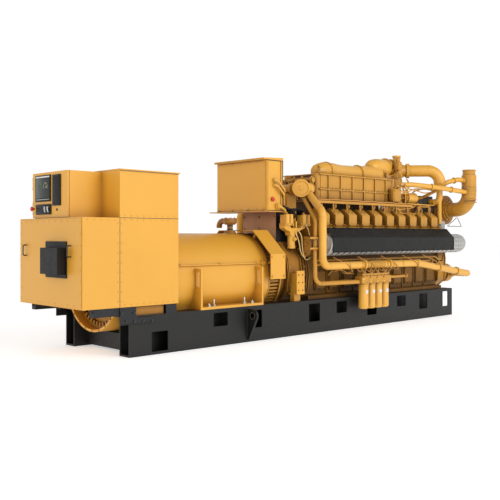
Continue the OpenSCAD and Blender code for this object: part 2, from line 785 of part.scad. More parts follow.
// Intake duct along the top of the aftercooler, which swells into a dome
// before the throttle and the mixer.
duct_z = cooler_z1 + 67;
throttle_x = cooler_x1 + 275;
throttle_z = cooler_z1 + 230;
mixer_x = throttle_x + 334;
charge_z = cooler_z1 + 188;
mixer_r = 108;
stub_len = 172;
charge_dir = unit([riser_x - mixer_x, -500, 0]);
module intake_duct() {
    dome_r = duct_r + 14;
    color("#e8a63a") difference() {
        union() {
            lathe_x(0, duct_z, [[cooler_x0 + 255, 0], [cooler_x0 + 255, 50], [cooler_x0 + 300, 92],
                [cooler_x0 + 370, 120], [cooler_x0 + 450, duct_r + 12], [cooler_x0 + 640, duct_r + 12],
                [cooler_x0 + 840, duct_r - 4], [cooler_x1 - 520, duct_r], [cooler_x1 - 190, duct_r + 26],
                [cooler_x1 + 50, duct_r + 34], [cooler_x1 + 50, 0]]);
            // Joint flanges
            for (x = [cooler_x0 + 520, cooler_x1 - 420])
                flange([x, 0, duct_z], [1, 0, 0], duct_r + 22, 22);
        }
        block([cooler_x0, -cooler_w, 0], [cooler_x1, cooler_w, cooler_z1]);
    }
    color("#e8a63a") lathe_x(0, throttle_z - 26, [[cooler_x1 - 140, 0], [cooler_x1 - 140, 50],
        [cooler_x1 - 112, 88], [cooler_x1 - 60, 118], [cooler_x1 + 20, dome_r - 6], [cooler_x1 + 90, dome_r],
        [throttle_x, dome_r], [throttle_x, 0]]);
    color("#c98f2e") {
        // Throttle between its two flanges
        lathe_x(0, throttle_z, [[throttle_x, 0], [throttle_x, 140], [throttle_x + 24, 140],
            [throttle_x + 24, 106], [throttle_x + 150, 106], [throttle_x + 150, 136],
            [throttle_x + 174, 136], [throttle_x + 174, 94], [mixer_x, 94], [mixer_x, 0]]);
        // Mixer: a turret with a capped stem and a stub on each side
        translate([mixer_x, 0, charge_z - 106]) cylinder(r = mixer_r, h = 206);
        translate([mixer_x, 0, charge_z + 99]) cylinder(r = 60, h = 143);
        translate([mixer_x, 0, charge_z + 219]) cylinder(r = 70, h = 24);
        both_sides() {
            rod([mixer_x, 0, charge_z], [mixer_x, 0, charge_z] + charge_dir * stub_len, charge_r);
            flange([mixer_x, 0, charge_z] + charge_dir * (stub_len - 12), charge_dir, charge_r + 24, 24);
        }
    }
}

// Charge air pipes: out from the mixer, down, and along to the compressors.
turbo_z = shaft_z + 940;
riser_r = 50;
outlet_y = 265;
outlet_z = turbo_z + 110;
outlet_len = 300;
module charge_air_pipe() {
    start = [mixer_x, 0, charge_z] + charge_dir * (stub_len + seat);
    top = [riser_x, -500, charge_z];
    bottom = [riser_x, -500, outlet_z];
    both_sides() color("#eba93c") {
        pipe_run([start, top, top - [0, 0, 205]], charge_r, 190);
        flange(start + charge_dir * 12, charge_dir, charge_r + 24, 24);
        // Reducer and the narrower pipe to the compressor
        translate(top - [0, 0, 325]) cylinder(r1 = riser_r, r2 = charge_r, h = 122);
        pipe_run([top - [0, 0, 320], bottom, [riser_x, -outlet_y, outlet_z],
                  [inlet_x - outlet_len - seat, -outlet_y, outlet_z]], riser_r, 90);
        // Support from the head deck
        translate([riser_x, -500, shaft_z + 700]) cylinder(r = 32, h = outlet_z - shaft_z - 680);
        bank(riser_x) block([-20, -124, deck_h], [20, -72, deck_h + 262]);
    }
}

module turbochargers() {
    both_sides() color("#c98f2e") {
        translate([inlet_x, 0, turbo_z]) rotate([90, 0, 0])
            rotate_extrude() polygon([[0, 0], [150, 0], [190, 30], [190, 110], [150, 130],
                [90, 136], [90, 190], [210, 200], [240, 220], [240, 310], [200, 330], [0, 330]]);
        // Outlet of the compressor
        rod([inlet_x, -outlet_y, outlet_z], [inlet_x - outlet_len, -outlet_y, outlet_z], riser_r + 8);
    }
}

// Casting that joins the two manifolds and carries the turbochargers.
module exhaust_collector() {
    color("#8c7f70") {
        block([inlet_x - 150, -collector_y, log_z - 150], [inlet_x + 150, collector_y, log_z + 150]);
        block([gear_x1, -160, log_z - 110], [inlet_x - 150, 160, log_z + 110]);
        difference() {
            block([inlet_x - 130, -108, log_z + 150], [inlet_x + 130, 108, turbo_z - 60]);
            translate([inlet_x, -200, turbo_z]) rotate([-90, 0, 0])
                cylinder(r = 190 + seat, h = 400, $fn = 180);
        }
    }
}

module air_inlet_elbows() {
    top_z = turbo_z + 640;
    neck_z = turbo_z + 553;
    mouth = [inlet_x, -330 - seat, turbo_z];
    both_sides() color("#eba93c") {
        pipe_run([mouth - [0, 28, 0], [inlet_x, -inlet_leg_y, turbo_z],
                  [inlet_x, -inlet_leg_y, neck_z]], elbow_r, 240);
        rod(mouth, mouth - [0, 30, 0], 180);
        rod(mouth, mouth - [0, 56, 0], 148);
        translate([inlet_x, -inlet_leg_y, neck_z - 1]) cylinder(r = elbow_r - 16, h = top_z - neck_z + 1);
        flange([inlet_x, -inlet_leg_y, top_z - 8], [0, 0, 1], elbow_r - 10, 16);
        // Hose clamps
        for (z = [200, 250, 400, 440])
            flange([inlet_x, -inlet_leg_y, neck_z - z], [0, 0, 1], elbow_r + 5, 16);
    }
}

// --------------------------------------------------------------- free end

pump_y = 290;
pump_z = shaft_z - 100;
module gear_case() {
    function rim(g) = mirrored([[-300 - g, shaft_z - 310], [-430 - g, shaft_z - 190], [-440 - g, shaft_z + 150],
            [-400 - g, shaft_z + 400 + g * 0.4], [-200 - g * 0.6, shaft_z + 580]]);
    color("#c48a2c") {
        yz_plate(block_x1, gear_x1, rim(0));
        for (x = [block_x1, gear_x1 - 20]) yz_plate(x, x + 20, rim(16));
        // Idler and camshaft covers
        both_sides() lathe_x(-270, shaft_z + 290, [[gear_x1 - 1, 0], [gear_x1 - 1, 90], [gear_x1 + 16, 90],
            [gear_x1 + 26, 54], [gear_x1 + 26, 0]]);
    }
    // Vibration damper on the crankshaft
    color("#3c3c3c") lathe_x(0, shaft_z, [[gear_x1 - 1, 0], [gear_x1 - 1, 110], [gear_x1 + 40, 110],
        [gear_x1 + 40, 130], [gear_x1 + 100, 130], [gear_x1 + 100, 0]]);
}

pump_port = [gear_x1 + 190, -pump_y - 190, pump_z];
module water_pumps() {
    both_sides() color("#d2952f") {
        lathe_x(-pump_y, pump_z, [[gear_x1, 0], [gear_x1, 120], [gear_x1 + 110, 120],
            [gear_x1 + 110, 150], [gear_x1 + 250, 150], [gear_x1 + 250, 90], [gear_x1 + 280, 90],
            [gear_x1 + 280, 0]]);
        rod([pump_port.x, -pump_y, pump_z], pump_port, coolant_r + 10);
    }
}

// --------------------------------------------------------------- services

tee_x = block_x0 + 90;
tee_y = 300;
tee_z = cooler_z0 + 155;
tee_mid = [tee_x + 80, -tee_y, tee_z];
tee_drop = [block_x0 - 23, -coolant_y, shaft_z + 810];
tee_port = tee_mid + unit(tee_drop - tee_mid) * 140;
bypass_y = 700;
bypass_top = [block_x0 - 66, -bypass_y, shaft_z + 705];
bypass_root = [tee_x + 4, -tee_y, tee_z - 60];
bypass_port = bypass_root + unit(bypass_top - bypass_root) * 100;
// Outlet manifold across the engine's rear end, with a tee on each side.
module water_outlet() {
    color("#e3a238") {
        block([block_x0 + 10, -125, valley_z], [block_x0 + 180, 125, tee_z - 60]);
        rod([tee_x + 5, -tee_y, tee_z], [tee_x + 5, tee_y, tee_z], 66);
        for (y = [-150, 150]) flange([tee_x + 5, y, tee_z], [0, 1, 0], 86, 24);
        both_sides() {
            lathe_x(-tee_y, tee_z, [[tee_x - 14, 0], [tee_x - 14, 74], [tee_x, 82], [tee_x, 104],
                [tee_x + 22, 104], [tee_x + 22, 88], [tee_x + 160, 88], [tee_x + 160, 0]]);
            rod(tee_mid, tee_port, coolant_r + 12);
        }
        rod(bypass_root, bypass_port, oil_r + 5);
        // Vent pipe to the aftercooler
        rod([tee_x + 160, -header_y, tee_z + 62], [cooler_x0 + 34 - header_r - seat, -header_y, tee_z + 62], 24);
        rod([tee_x + 100, -header_y, tee_z + 62], [tee_x + 165, -header_y, tee_z + 62], 34);
    }
}

// Coolant pipes down from the tees and along the engine to the pumps.
module coolant_pipes() {
    z0 = shaft_z + 118;
    z1 = shaft_z + 106;
    knee = [last_cyl_x - 877, -coolant_y, z1];
    rear = pump_port.x;
    both_sides() color("#eba93c") {
        pipe_run([tee_port + unit(tee_drop - tee_port) * seat, tee_drop,
                  [tee_drop.x, -coolant_y, z0], knee,
                  [rear, -coolant_y, pump_z], pump_port - [0, seat, 0]], coolant_r, 110);
        // Bolted joints
        for (x = [last_cyl_x - 2160, last_cyl_x - 1590])
            flange([x, -coolant_y, z0 - 5], [1, 0, 0], coolant_r + 16, 26);
        for (k = [0.38, 0.72])
            flange(knee * (1 - k) + [rear, -coolant_y, pump_z] * k,
                [rear, -coolant_y, pump_z] - knee, coolant_r + 14, 22);
    }
}

// Thermostats: two square heads on the arms of a forked casting.
therm_x = screen_x1 + 348;
therm_y = -500;
therm_d = 104;
module thermostat_housing() {
    z0 = shaft_z + 345;
    fork_z = z0 + 300;
    color("#eba93c") {
        translate([therm_x - 66, therm_y + therm_d / 2, z0]) cylinder(r = 50, h = 190);
        translate([therm_x - 66, therm_y + therm_d / 2, z0]) cylinder(r = 55, h = 26);
        xz_plate(therm_y + 6, therm_y + therm_d - 6, [for (p = [
                [-235, 296], [-235, 262], [-196, 236], [-134, 214], [-124, 168], [-8, 168],
                [2, 214], [64, 236], [150, 262], [150, 296], [96, 300], [64, 262], [-110, 262], [-150, 300]])
            [therm_x + p[0], z0 + p[1]]]);
        for (x = [-217, 102]) {
            block([therm_x + x, therm_y, fork_z + 22], [therm_x + x + 128, therm_y + therm_d, fork_z + 132]);
            block([therm_x + x - 8, therm_y - 8, fork_z - 6], [therm_x + x + 136, therm_y + therm_d + 8, fork_z + 22]);
            translate([therm_x + x + 64, therm_y + therm_d / 2, fork_z + 130]) cylinder(r = 15, h = 36);
        }
        // Arm back to the pedestal
        block([therm_x - 130, therm_y + therm_d - 8, z0 + 268], [therm_x - 20, -308, z0 + 290]);
    }
}

// Filter base with the oil pipe that feeds it.
head_y = coolant_y + 5;
head_z0 = shaft_z - 153;
head_z1 = shaft_z + 12;
filter_x0 = block_x0 + 812;
module filter_head() {
    x0 = filter_x0 - 104;
    x1 = filter_x0 + (filter_count - 1) * filter_pitch + 92;
    color("#eba93c") {
        block([x0, -head_y - 60, head_z0 + 20], [x1, -head_y + 60, head_z1 - 52]);
        block([x0 + 30, -head_y - 44, head_z1 - 52], [x1 - 20, -head_y + 44, head_z1 - 16]);
        for (i = [0:filter_count - 1]) translate([filter_x0 + i * filter_pitch, -head_y, 0]) {
            translate([0, 0, head_z0]) cylinder(r = filter_r + 3, h = 21);
            translate([0, 0, head_z1 - 17]) cylinder(r = 34, h = 17);
        }
        // Oil pipe from the outlet manifold
        pipe_run([bypass_port + unit(bypass_top - bypass_root) * seat, bypass_top,
                  [block_x0 - 84, -bypass_y, head_z0 + 44],
                  [x0 + 1, -head_y, head_z0 + 44]], oil_r, 110);
        // Return pipe on to the crankcase
        pipe_run([[x1 - 1, -head_y + 26, head_z0 + 80], [gap_xs[5], -head_y + 60, head_z0 + 80],
                  [gap_xs[5], -side_y - rib_out, head_z0 + 80]], 19, 60);
        flange([gap_xs[5] - 80, -head_y + 58, head_z0 + 80], [1, 0, 0], 34, 24);
        // Arms back to the crankcase, on its ribs
        for (i = [1:3])
            block([gap_xs[i] - 20, -head_y + 60, head_z0 + 40],
                  [gap_xs[i] + 20, -side_y - rib_out, head_z0 + 60]);
    }
}

module oil_filters() {
    color("#eba93c") for (i = [0:filter_count - 1])
        translate([filter_x0 + i * filter_pitch, -head_y, head_z0 - filter_len])
            cylinder(r = filter_r, h = filter_len);
}

// Gas valve on the aftercooler's end, its actuator and the pipe to the inlet.
module gas_valve() {
    y = -cooler_w / 2;
    z = shaft_z + 1100;
    far = [inlet_x, -inlet_leg_y, shaft_z + 1210];
    side = unit([riser_x - 170, -640, shaft_z + 1260] - far);
    color("#e3a238") {
        block([cooler_x1, y, z - 66], [cooler_x1 + 230, y + 140, z + 116]);
        block([cooler_x1 + 40, y - 16, z - 46], [cooler_x1 + 190, y + 1, z + 90]);
        rod([cooler_x1 + 229, y + 70, z], [cooler_x1 + 400, y + 70, z], 34);
        lathe_x(y + 70, z, [[cooler_x1 + 390, 0], [cooler_x1 + 390, 52], [cooler_x1 + 640, 52],
            [cooler_x1 + 640, 58], [cooler_x1 + 664, 58], [cooler_x1 + 664, 0]]);
        pipe_run([[cooler_x1 + 660, y + 70, z], [riser_x - 200, y + 70, z + 10],
                  [riser_x - 170, -640, shaft_z + 1260], far + side * (elbow_r + 22)], gas_r, 70);
        flange(far + side * (elbow_r + 34), side, gas_r + 14, 20);
    }
}

// Wiring ducts along the aftercooler, each held by a few straps.
module harness_ducts() {
    w = cooler_w / 2;
    both_sides() color("#d2952f") {
        block([block_x0 + 270, -w - 80, cooler_z0 - 30], [cooler_x1 + 419, -w - 40, cooler_z0 + 4]);
        for (i = [0:3]) let (x = cooler_x0 + 80 + i * (cooler_len - 200) / 3)
            block([x, -w - 40, cooler_z0 - 4], [x + 40, -w, cooler_z0 + 4]);
    }
}

// Crankcase breather on the crown of the alternator frame.
module breather() {
    x = gen_x1 - 164;
    z = gen_top;
    color("#c07a30") {
        difference() {
            translate([x, 0, z - 12]) cylinder(r1 = 88, r2 = 62, h = 50);
            frame_space();
        }
        translate([x, 0, z + 37]) cylinder(r = 36, h = 80);
        translate([x, 0, z + 110]) cylinder(r1 = 62, r2 = 86, h = 26);
        translate([x, 0, z + 136]) cylinder(r = 86, h = 56);
        pipe_run([[x, 40, z + 158], [x, 206, z + 158], [x, 206, z + 70]], 36, 64);
    }
}

rail_near();
rail_far();
cross_members();
lifting_lugs();
box_brackets();
generator_frame();
generator_end_ring();
generator_pads();
generator_feet();
drive_end_screen();
drive_end_cover();
cable_box();
cable_vent_hood();
cable_box_handles();
terminal_box_lower();
terminal_box_upper();
control_panel_housing();
control_panel_hinges();
control_panel_door();
junction_stand();
junction_box();
flywheel_housing();
engine_mounts();
crankcase();
crankcase_covers();
cylinder_heads();
rocker_covers();
exhaust_manifolds();
manifold_shields();
aftercooler();
intake_duct();
charge_air_pipe();
turbochargers();
exhaust_collector();
air_inlet_elbows();
gear_case();
water_pumps();
water_outlet();
coolant_pipes();
thermostat_housing();
filter_head();
oil_filters();
gas_valve();
harness_ducts();
breather();
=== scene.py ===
"""Looks of the natural gas generator set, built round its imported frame."""

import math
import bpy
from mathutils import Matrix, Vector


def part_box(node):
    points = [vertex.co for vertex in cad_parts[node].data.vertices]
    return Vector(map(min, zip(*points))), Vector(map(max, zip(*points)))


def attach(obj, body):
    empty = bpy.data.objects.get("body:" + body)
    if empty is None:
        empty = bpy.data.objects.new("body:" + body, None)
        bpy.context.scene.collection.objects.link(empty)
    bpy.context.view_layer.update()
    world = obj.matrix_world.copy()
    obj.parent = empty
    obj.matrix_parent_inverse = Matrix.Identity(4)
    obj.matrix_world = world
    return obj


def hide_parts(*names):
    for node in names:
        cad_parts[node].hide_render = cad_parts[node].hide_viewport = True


bl_info = {
    "name": "Generator Set Looks",
    "version": (1, 0, 0),
    "blender": (4, 5, 0),
    "location": "View3D > Sidebar > Generator Set",
    "description": "Paint, fittings and stage for a natural gas generator set",
    "category": "Object",
}

import bmesh
import bpy
from mathutils import Matrix, Vector

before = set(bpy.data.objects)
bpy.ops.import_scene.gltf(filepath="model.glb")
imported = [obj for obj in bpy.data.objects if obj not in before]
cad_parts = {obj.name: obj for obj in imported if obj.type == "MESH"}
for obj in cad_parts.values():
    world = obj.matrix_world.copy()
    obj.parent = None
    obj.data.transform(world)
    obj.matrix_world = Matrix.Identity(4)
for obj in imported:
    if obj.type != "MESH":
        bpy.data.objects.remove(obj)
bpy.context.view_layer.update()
GENSET, DOOR = "genset", "panel_door"
MM = 0.001

# Stations along the set, taken from the frame, in millimetres.
BOX = {name: [[1000 * c for c in corner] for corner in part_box(name)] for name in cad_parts}
SHAFT_Z = (BOX["generator_frame"][0][2] + BOX["generator_frame"][1][2]) / 2
GEN_X0, GEN_X1 = BOX["generator_frame"][0][0], BOX["generator_frame"][1][0]
RAIL_Y, RAIL_TOP = -BOX["rail_near"][0][1], BOX["rail_near"][1][2]
BLOCK_X0, BLOCK_X1 = BOX["crankcase"][0][0], BOX["crankcase"][1][0]
GEAR_X1 = BOX["water_pumps"][0][0]
CABLE_X0, BOX_X0 = BOX["cable_box"][0][0], BOX["cable_box"][1][0]
BOX_X1, BOX_Y = BOX["terminal_box_lower"][1][0], -BOX["terminal_box_lower"][0][1]
BOX_Z0, BOX_Z1 = BOX["cable_box"][0][2], BOX["cable_box"][1][2]
COOLER_X0, COOLER_X1 = BOX["aftercooler"][0][0] + 40, BOX["aftercooler"][1][0]
COOLER_Z0, COOLER_Z1 = BOX["aftercooler"][0][2], BOX["aftercooler"][1][2]
INLET_X, TURBO_Z = GEAR_X1 + 250, SHAFT_Z + 940
LOG_R, LOG_Y, LOG_Z = 145, 600, SHAFT_Z + 393
CYLINDERS, PITCH = 10, 293
CYLINDER_XS = [BLOCK_X0 + 340 + PITCH * i for i in range(CYLINDERS)]
BANK_TILT = math.radians(30)
PIPE_Y = 780
VALVE = (COOLER_X1, -350, SHAFT_Z + 1100)
SIDES = (-1, 1)

# Ways that a piece faces: to the free end, to the panel, to the far side, to the near side, up and down.
AFT, FORE, OUT, NEAR, UP, DOWN = (1, 0, 0), (-1, 0, 0), (0, 1, 0), (0, -1, 0), (0, 0, 1), (0, 0, -1)

# A slot name for each finish.
SLOT = {finish: slot for slot, finishes in {
    "paint_yellow": "yellow_enamel pipe_enamel amber_cable cream_sheath",
    "paint_cast": "cast_enamel oily_cast_enamel brown_primer amber_primer",
    "paint_black": "black_enamel bracket_enamel satin_black black_abs screen_glass hood_grey black_rubber",
    "hinge_steel": "dark_steel zinc_plate grey_conduit pale_abs lamp_green lamp_amber signal_red "
                   "signal_yellow",
    "bare_cast": "bare_iron",
    "lagging": "foil_tape lagging_cloth",
}.items() for finish in finishes.split()}


# ------------------------------------------------------------------ helpers

def linear(hex_colour):
    """An sRGB hex colour as the linear RGBA that shaders take."""
    channels = [int(hex_colour[i : i + 2], 16) / 255 for i in (1, 3, 5)]
    return tuple(
        c / 12.92 if c <= 0.04045 else ((c + 0.055) / 1.055) ** 2.4 for c in channels
    ) + (1.0,)


def add_node(tree, kind, settings=None, inputs=None):
    """A node with its settings, and with its inputs set or linked."""
    made = tree.nodes.new(kind)
    for key, value in (settings or {}).items():
        setattr(made, key, value)
    for key, value in (inputs or {}).items():
        if isinstance(value, bpy.types.NodeSocket):
            tree.links.new(value, made.inputs[key])
        else:
            made.inputs[key].default_value = value
    return made


def flip(side, item):
    """Carries an item to a side: every place and direction in it has its Y turned."""
    if isinstance(item, Vector) or (isinstance(item, tuple) and len(item) == 3
                                    and isinstance(item[0], (int, float))):
        return (item[0], side * item[1], item[2])
    if isinstance(item, (tuple, list)):
        return type(item)(flip(side, part) for part in item)
    return item


def both(items):
    """Items drawn for the far side, on both sides: places, runs and forms alike."""
    return [flip(side, item) for side in SIDES for item in items]


def moved(origin, points):
    """Points given from an origin, as places on the set."""
    return [tuple(o + c for o, c in zip(origin, point)) for point in points]


def along(axis):
    """A turn that takes +Z to the axis."""
    return Vector(axis).normalized().to_track_quat("Z", "Y").to_matrix().to_4x4()


def row(first, last, count, facing):
    """Places at even steps from first to last, facing one way."""
    return [(tuple(a + (b - a) * k / (count - 1) for a, b in zip(first, last)), facing) for k in range(count)]


def ring_of(centre, axis, radius, count, start=0.0):
    """Places on a bolt circle, facing along its axis."""
    turn = Matrix.Translation(centre) @ along(axis)
    return [(turn @ Vector((radius * math.cos(a), radius * math.sin(a), 0)), axis)
            for a in (start + 2 * math.pi * k / count for k in range(count))]


def ring_pair(centre, axis, *size):
    """The same bolt circle on both sides."""
    return [place for side in SIDES
            for place in ring_of(flip(side, tuple(centre)), flip(side, tuple(axis)), *size)]


def bank_axis(across, up):
    """A direction given across the far cylinder bank and up its bores."""
    c, s = math.cos(BANK_TILT), math.sin(BANK_TILT)
    return (0, up * s - across * c, across * s + up * c)


def on_bank(x, across, up):
    """A place on the far cylinder bank: across it and up its bores, in millimetres."""
    _, y, z = bank_axis(across, up)
    return (x, y, SHAFT_Z + z)


def drawn(points, steps=6):
    """A smooth run through a few points."""
    points = [Vector(p) for p in points]
    full = [points[0] * 2 - points[1]] + points + [points[-1] * 2 - points[-2]]
    run = []
    for k in range(1, len(full) - 2):
        a, b, c, d = full[k - 1 : k + 3]
        for t in (i / steps for i in range(steps)):
            run.append(0.5 * (2 * b + (c - a) * t + (2 * a - 5 * b + 4 * c - d) * t ** 2
                              + (3 * b - a - 3 * c + d) * t ** 3))
    return run + [points[-1]]


# ---------------------------------------------------------------- materials

FINISH = {}


def new_material(name, metallic, specular):
    """An empty node material, its tree, its shader and its object coordinates."""
    material = bpy.data.materials.new(name)
    material.use_nodes = True
    tree = material.node_tree
    tree.nodes.clear()
    shader = add_node(tree, "ShaderNodeBsdfPrincipled", inputs={
        "Metallic": metallic, "Specular IOR Level": specular})
    add_node(tree, "ShaderNodeOutputMaterial", inputs={"Surface": shader.outputs[0]})
    FINISH[name] = material
    return tree, shader, add_node(tree, "ShaderNodeTexCoord").outputs["Object"]


def surface(name, base, shade_colour, shade_reach, drift, drift_mm, grain_mm, grain, rough, metallic=0.0, specular=0.5):
    """A finish whose colour drifts a little and is darkened by painted shade in recesses, and whose gloss
    follows its grain.
    """
    tree, shader, at = new_material(name, metallic, specular)
    slow = add_node(tree, "ShaderNodeTexNoise",
                    inputs={"Vector": at, "Scale": 1000 / drift_mm, "Detail": 5.0})
    fine = add_node(tree, "ShaderNodeTexNoise",
                    inputs={"Vector": at, "Scale": 1000 / grain_mm, "Detail": 3.0})
    colour = linear(base)[:3]
    spread = add_node(tree, "ShaderNodeMapRange", inputs={
        "Value": slow.outputs["Fac"], "From Min": 0.3, "From Max": 0.7})
    paint = add_node(tree, "ShaderNodeMix", {"data_type": "RGBA"}, {
        0: spread.outputs[0], 6: tuple(c * (1 - drift) for c in colour) + (1,),
        7: tuple(min(1, c * (1 + drift)) for c in colour) + (1,)})
    # Painted shade: ambient occlusion mixes the shade colour into recesses and between crowded parts.
    shade = add_node(tree, "ShaderNodeAmbientOcclusion", {"samples": 6}, {"Distance": shade_reach * MM})
    depth = add_node(tree, "ShaderNodeMapRange", inputs={
        "Value": shade.outputs["AO"], "From Min": 0.2, "From Max": 0.9})
    shaded_paint = add_node(tree, "ShaderNodeMix", {"data_type": "RGBA"}, {
        0: depth.outputs[0], 6: linear(shade_colour), 7: paint.outputs[2]})
    gloss = add_node(tree, "ShaderNodeMapRange", inputs={
        "Value": fine.outputs["Fac"], "From Min": 0.3, "From Max": 0.7,
        "To Min": rough[0], "To Max": rough[1]})
    bump = add_node(tree, "ShaderNodeBump", inputs={
        "Strength": grain, "Distance": 0.004, "Height": fine.outputs["Fac"]})
    for key, made in {"Base Color": shaded_paint.outputs[2], "Roughness": gloss.outputs[0],
                      "Normal": bump.outputs[0]}.items():
        tree.links.new(made, shader.inputs[key])
    return tree, shader


def plain(name, base, roughness, metallic=0.0, grain_mm=9, specular=0.5):
    """A moulded or turned finish with only a faint mottle in its gloss."""
    tree, shader, at = new_material(name, metallic, specular)
    mottle = add_node(tree, "ShaderNodeTexNoise",
                      inputs={"Vector": at, "Scale": 1000 / grain_mm, "Detail": 2.0})
    gloss = add_node(tree, "ShaderNodeMapRange", inputs={
        "Value": mottle.outputs["Fac"], "To Min": roughness * 0.8, "To Max": roughness * 1.2})
    tree.links.new(gloss.outputs[0], shader.inputs["Roughness"])
    shader.inputs["Base Color"].default_value = linear(base)
    return shader


# -------------------------------------------------- forms drawn in mesh code

def slab(bm, low, high, edge=3.0):
    """A plate or block between two corners, with rounded-off edges."""
    low, high = zip(*(sorted(pair) for pair in zip(low, high)))
    size = [b - a for a, b in zip(low, high)]
    middle = [(b + a) / 2 for a, b in zip(low, high)]
    made = bmesh.ops.create_cube(bm, size=1.0,
                                 matrix=Matrix.Translation(middle) @ Matrix.Diagonal((*size, 1)))
    edges = list({e for v in made["verts"] for e in v.link_edges})
    bmesh.ops.bevel(bm, geom=edges, offset=min(edge, min(size) * 0.45), segments=2, profile=0.5,
                    affect="EDGES")


def turned(bm, place, axis, profile, sides=24):
    """A turned form: profile is (distance along the axis, radius), from end to end."""
    lathe = Matrix.Translation(place) @ along(axis)
    turns = [2 * math.pi * k / sides for k in range(sides)]
    rings = []
    for height, radius in profile:
        rings.append([bm.verts.new(lathe @ Vector((radius * math.cos(a), radius * math.sin(a), height)))
                      for a in (turns if radius else turns[:1])])
    for lower, upper in zip(rings, rings[1:]):
        for k in range(sides):
            j = (k + 1) % sides
            corners = [lower[k % len(lower)], lower[j % len(lower)], upper[j % len(upper)],
                       upper[k % len(upper)]]
            bm.faces.new(list(dict.fromkeys(corners)))
    for ring in (rings[0], rings[-1]):
        if len(ring) > 1:
            bm.faces.new(ring)


def prism(bm, outline, axis, start, end):
    """An outline drawn square to an axis (0, 1 or 2) and carried from start to end along it."""
    ends = [[bm.verts.new((a, b)[:axis] + (t,) + (a, b)[axis:]) for a, b in outline] for t in (start, end)]
    low, high = ends
    bm.faces.new(low)
    bm.faces.new(high)
    for k in range(len(outline)):
        j = (k + 1) % len(outline)
        bm.faces.new((low[k], low[j], high[j], high[k]))


def sweep(bm, points, radius, sides=10):
    """A round rod bent through points, closed at both ends."""
    points = [Vector(p) for p in points]
    rings, normal = [], None
    for k, point in enumerate(points):
        ahead = (points[min(k + 1, len(points) - 1)] - points[max(k - 1, 0)]).normalized()
        if normal is None:
            normal = ahead.orthogonal()
        normal = (normal - ahead * normal.dot(ahead)).normalized()
        other = ahead.cross(normal)
        rings.append([bm.verts.new(point + (normal * math.cos(a) + other * math.sin(a)) * radius)
                      for a in (2 * math.pi * i / sides for i in range(sides))])
    for lower, upper in zip(rings, rings[1:]):
        for i in range(sides):
            j = (i + 1) % sides
            bm.faces.new((lower[i], lower[j], upper[j], upper[i]))
    bm.faces.new(rings[0])
    bm.faces.new(rings[-1])


# ------------------------------------------------------------------- pieces

def piece(name, mesh, slot, body, smooth=35):
    """Puts a finished mesh in the scene, riding on its body."""
    mesh.shade_smooth()
    mesh.set_sharp_from_angle(angle=math.radians(smooth))
    made = bpy.data.objects.new(name, mesh)
    bpy.context.scene.collection.objects.link(made)
    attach(made, body)
    return made


def shaped(name, finish, forms, at=(0, 0, 0), body=GENSET, smooth=35):
    """A piece made of forms, each a mesh function and what it takes, in millimetres from a place."""
    bm = bmesh.new()
    for form, *given in forms:
        form(bm, *given)
    bmesh.ops.remove_doubles(bm, verts=bm.verts, dist=0.01)
    bmesh.ops.recalc_face_normals(bm, faces=bm.faces)
    bmesh.ops.translate(bm, vec=at, verts=bm.verts)
    bmesh.ops.scale(bm, vec=(MM, MM, MM), verts=bm.verts)
    mesh = bpy.data.meshes.new(name)
    bm.to_mesh(mesh)
    bm.free()
    mesh.materials.append(FINISH[finish])
    return piece(name, mesh, SLOT[finish], body, smooth)


def grown(name, tree_name, finish, places=(), runs=(), at=(0, 0, 0), body=GENSET, slot=None, **values):
    """A piece grown by a tree, from (place, facing) pairs or runs of points, in millimetres from a place."""
    points = [place for place, facing in places]
    facings = [c for place, facing in places for c in Vector(facing).normalized()]
    edges = []
    for run in runs:
        edges += [(len(points) + k, len(points) + k + 1) for k in range(len(run) - 1)]
        points += run
    seed_mesh = bpy.data.meshes.new(name + "_seed")
    seed_mesh.from_pydata([[c * MM for c in point] for point in moved(at, points)], edges, [])
    if facings:
        seed_mesh.attributes.new("facing", "FLOAT_VECTOR", "POINT").data.foreach_set("vector", facings)
    seed = bpy.data.objects.new(name + "_seed", seed_mesh)
    bpy.context.scene.collection.objects.link(seed)
    tree = TREES[tree_name]
    modifier = seed.modifiers.new("grow", "NODES")
    modifier.node_group = tree
    sockets = {item.name.replace(" ", "_"): item.identifier for item in tree.interface.items_tree
               if item.item_type == "SOCKET" and item.in_out == "INPUT"}
    for key, value in (*values.items(), ("Material", FINISH[finish])):
        modifier[sockets[key]] = value
    mesh = bpy.data.meshes.new_from_object(seed.evaluated_get(bpy.context.evaluated_depsgraph_get()))
    mesh.name = name
    bpy.data.objects.remove(seed)
    bpy.data.meshes.remove(seed_mesh)
    if not len(mesh.polygons):
        raise RuntimeError(name + " came out empty")
    return piece(name, mesh, slot or SLOT[finish], body)


def bolts(name, places, width=30, finish="cast_enamel", at=(0, 0, 0)):
    """Bolt heads on washers at the places, sized from their width."""
    w = width * MM
    grown(name, "Fasteners", finish, places, at=at, Head_Width=w, Head_Height=w * 0.5, Crown=0.88, Sides=6,
          Washer_Width=w * 1.35, Washer_Thickness=w * 0.1)


def rivets(name, places, width):
    """Low domed heads at the places."""
    w = width * MM
    grown(name, "Fasteners", "yellow_enamel", places, Head_Width=w, Head_Height=w * 0.32, Crown=0.55,
          Sides=10, Washer_Width=w * 0.7, Washer_Thickness=0.0006)


def hoses(name, runs, radius, finish, bend=0, sides=8, at=(0, 0, 0)):
    """Tubes or cables along the runs."""
    grown(name, "Hose", finish, runs=runs, at=at, Radius=radius * MM, Bend_Radius=bend * MM, Sides=sides)


def bands(name, places, radius, width, thickness, finish, **more):
    """Flat bands round a pipe at the places."""
    grown(name, "Bands", finish, places, Radius=radius * MM, Width=width * MM, Thickness=thickness * MM,
          **more)


# ------------------------------------------------------ Geometry Nodes trees

TREES = {}
SOCKETS = {float: "NodeSocketFloat", int: "NodeSocketInt", tuple: "NodeSocketVector",
           type(None): "NodeSocketMaterial"}


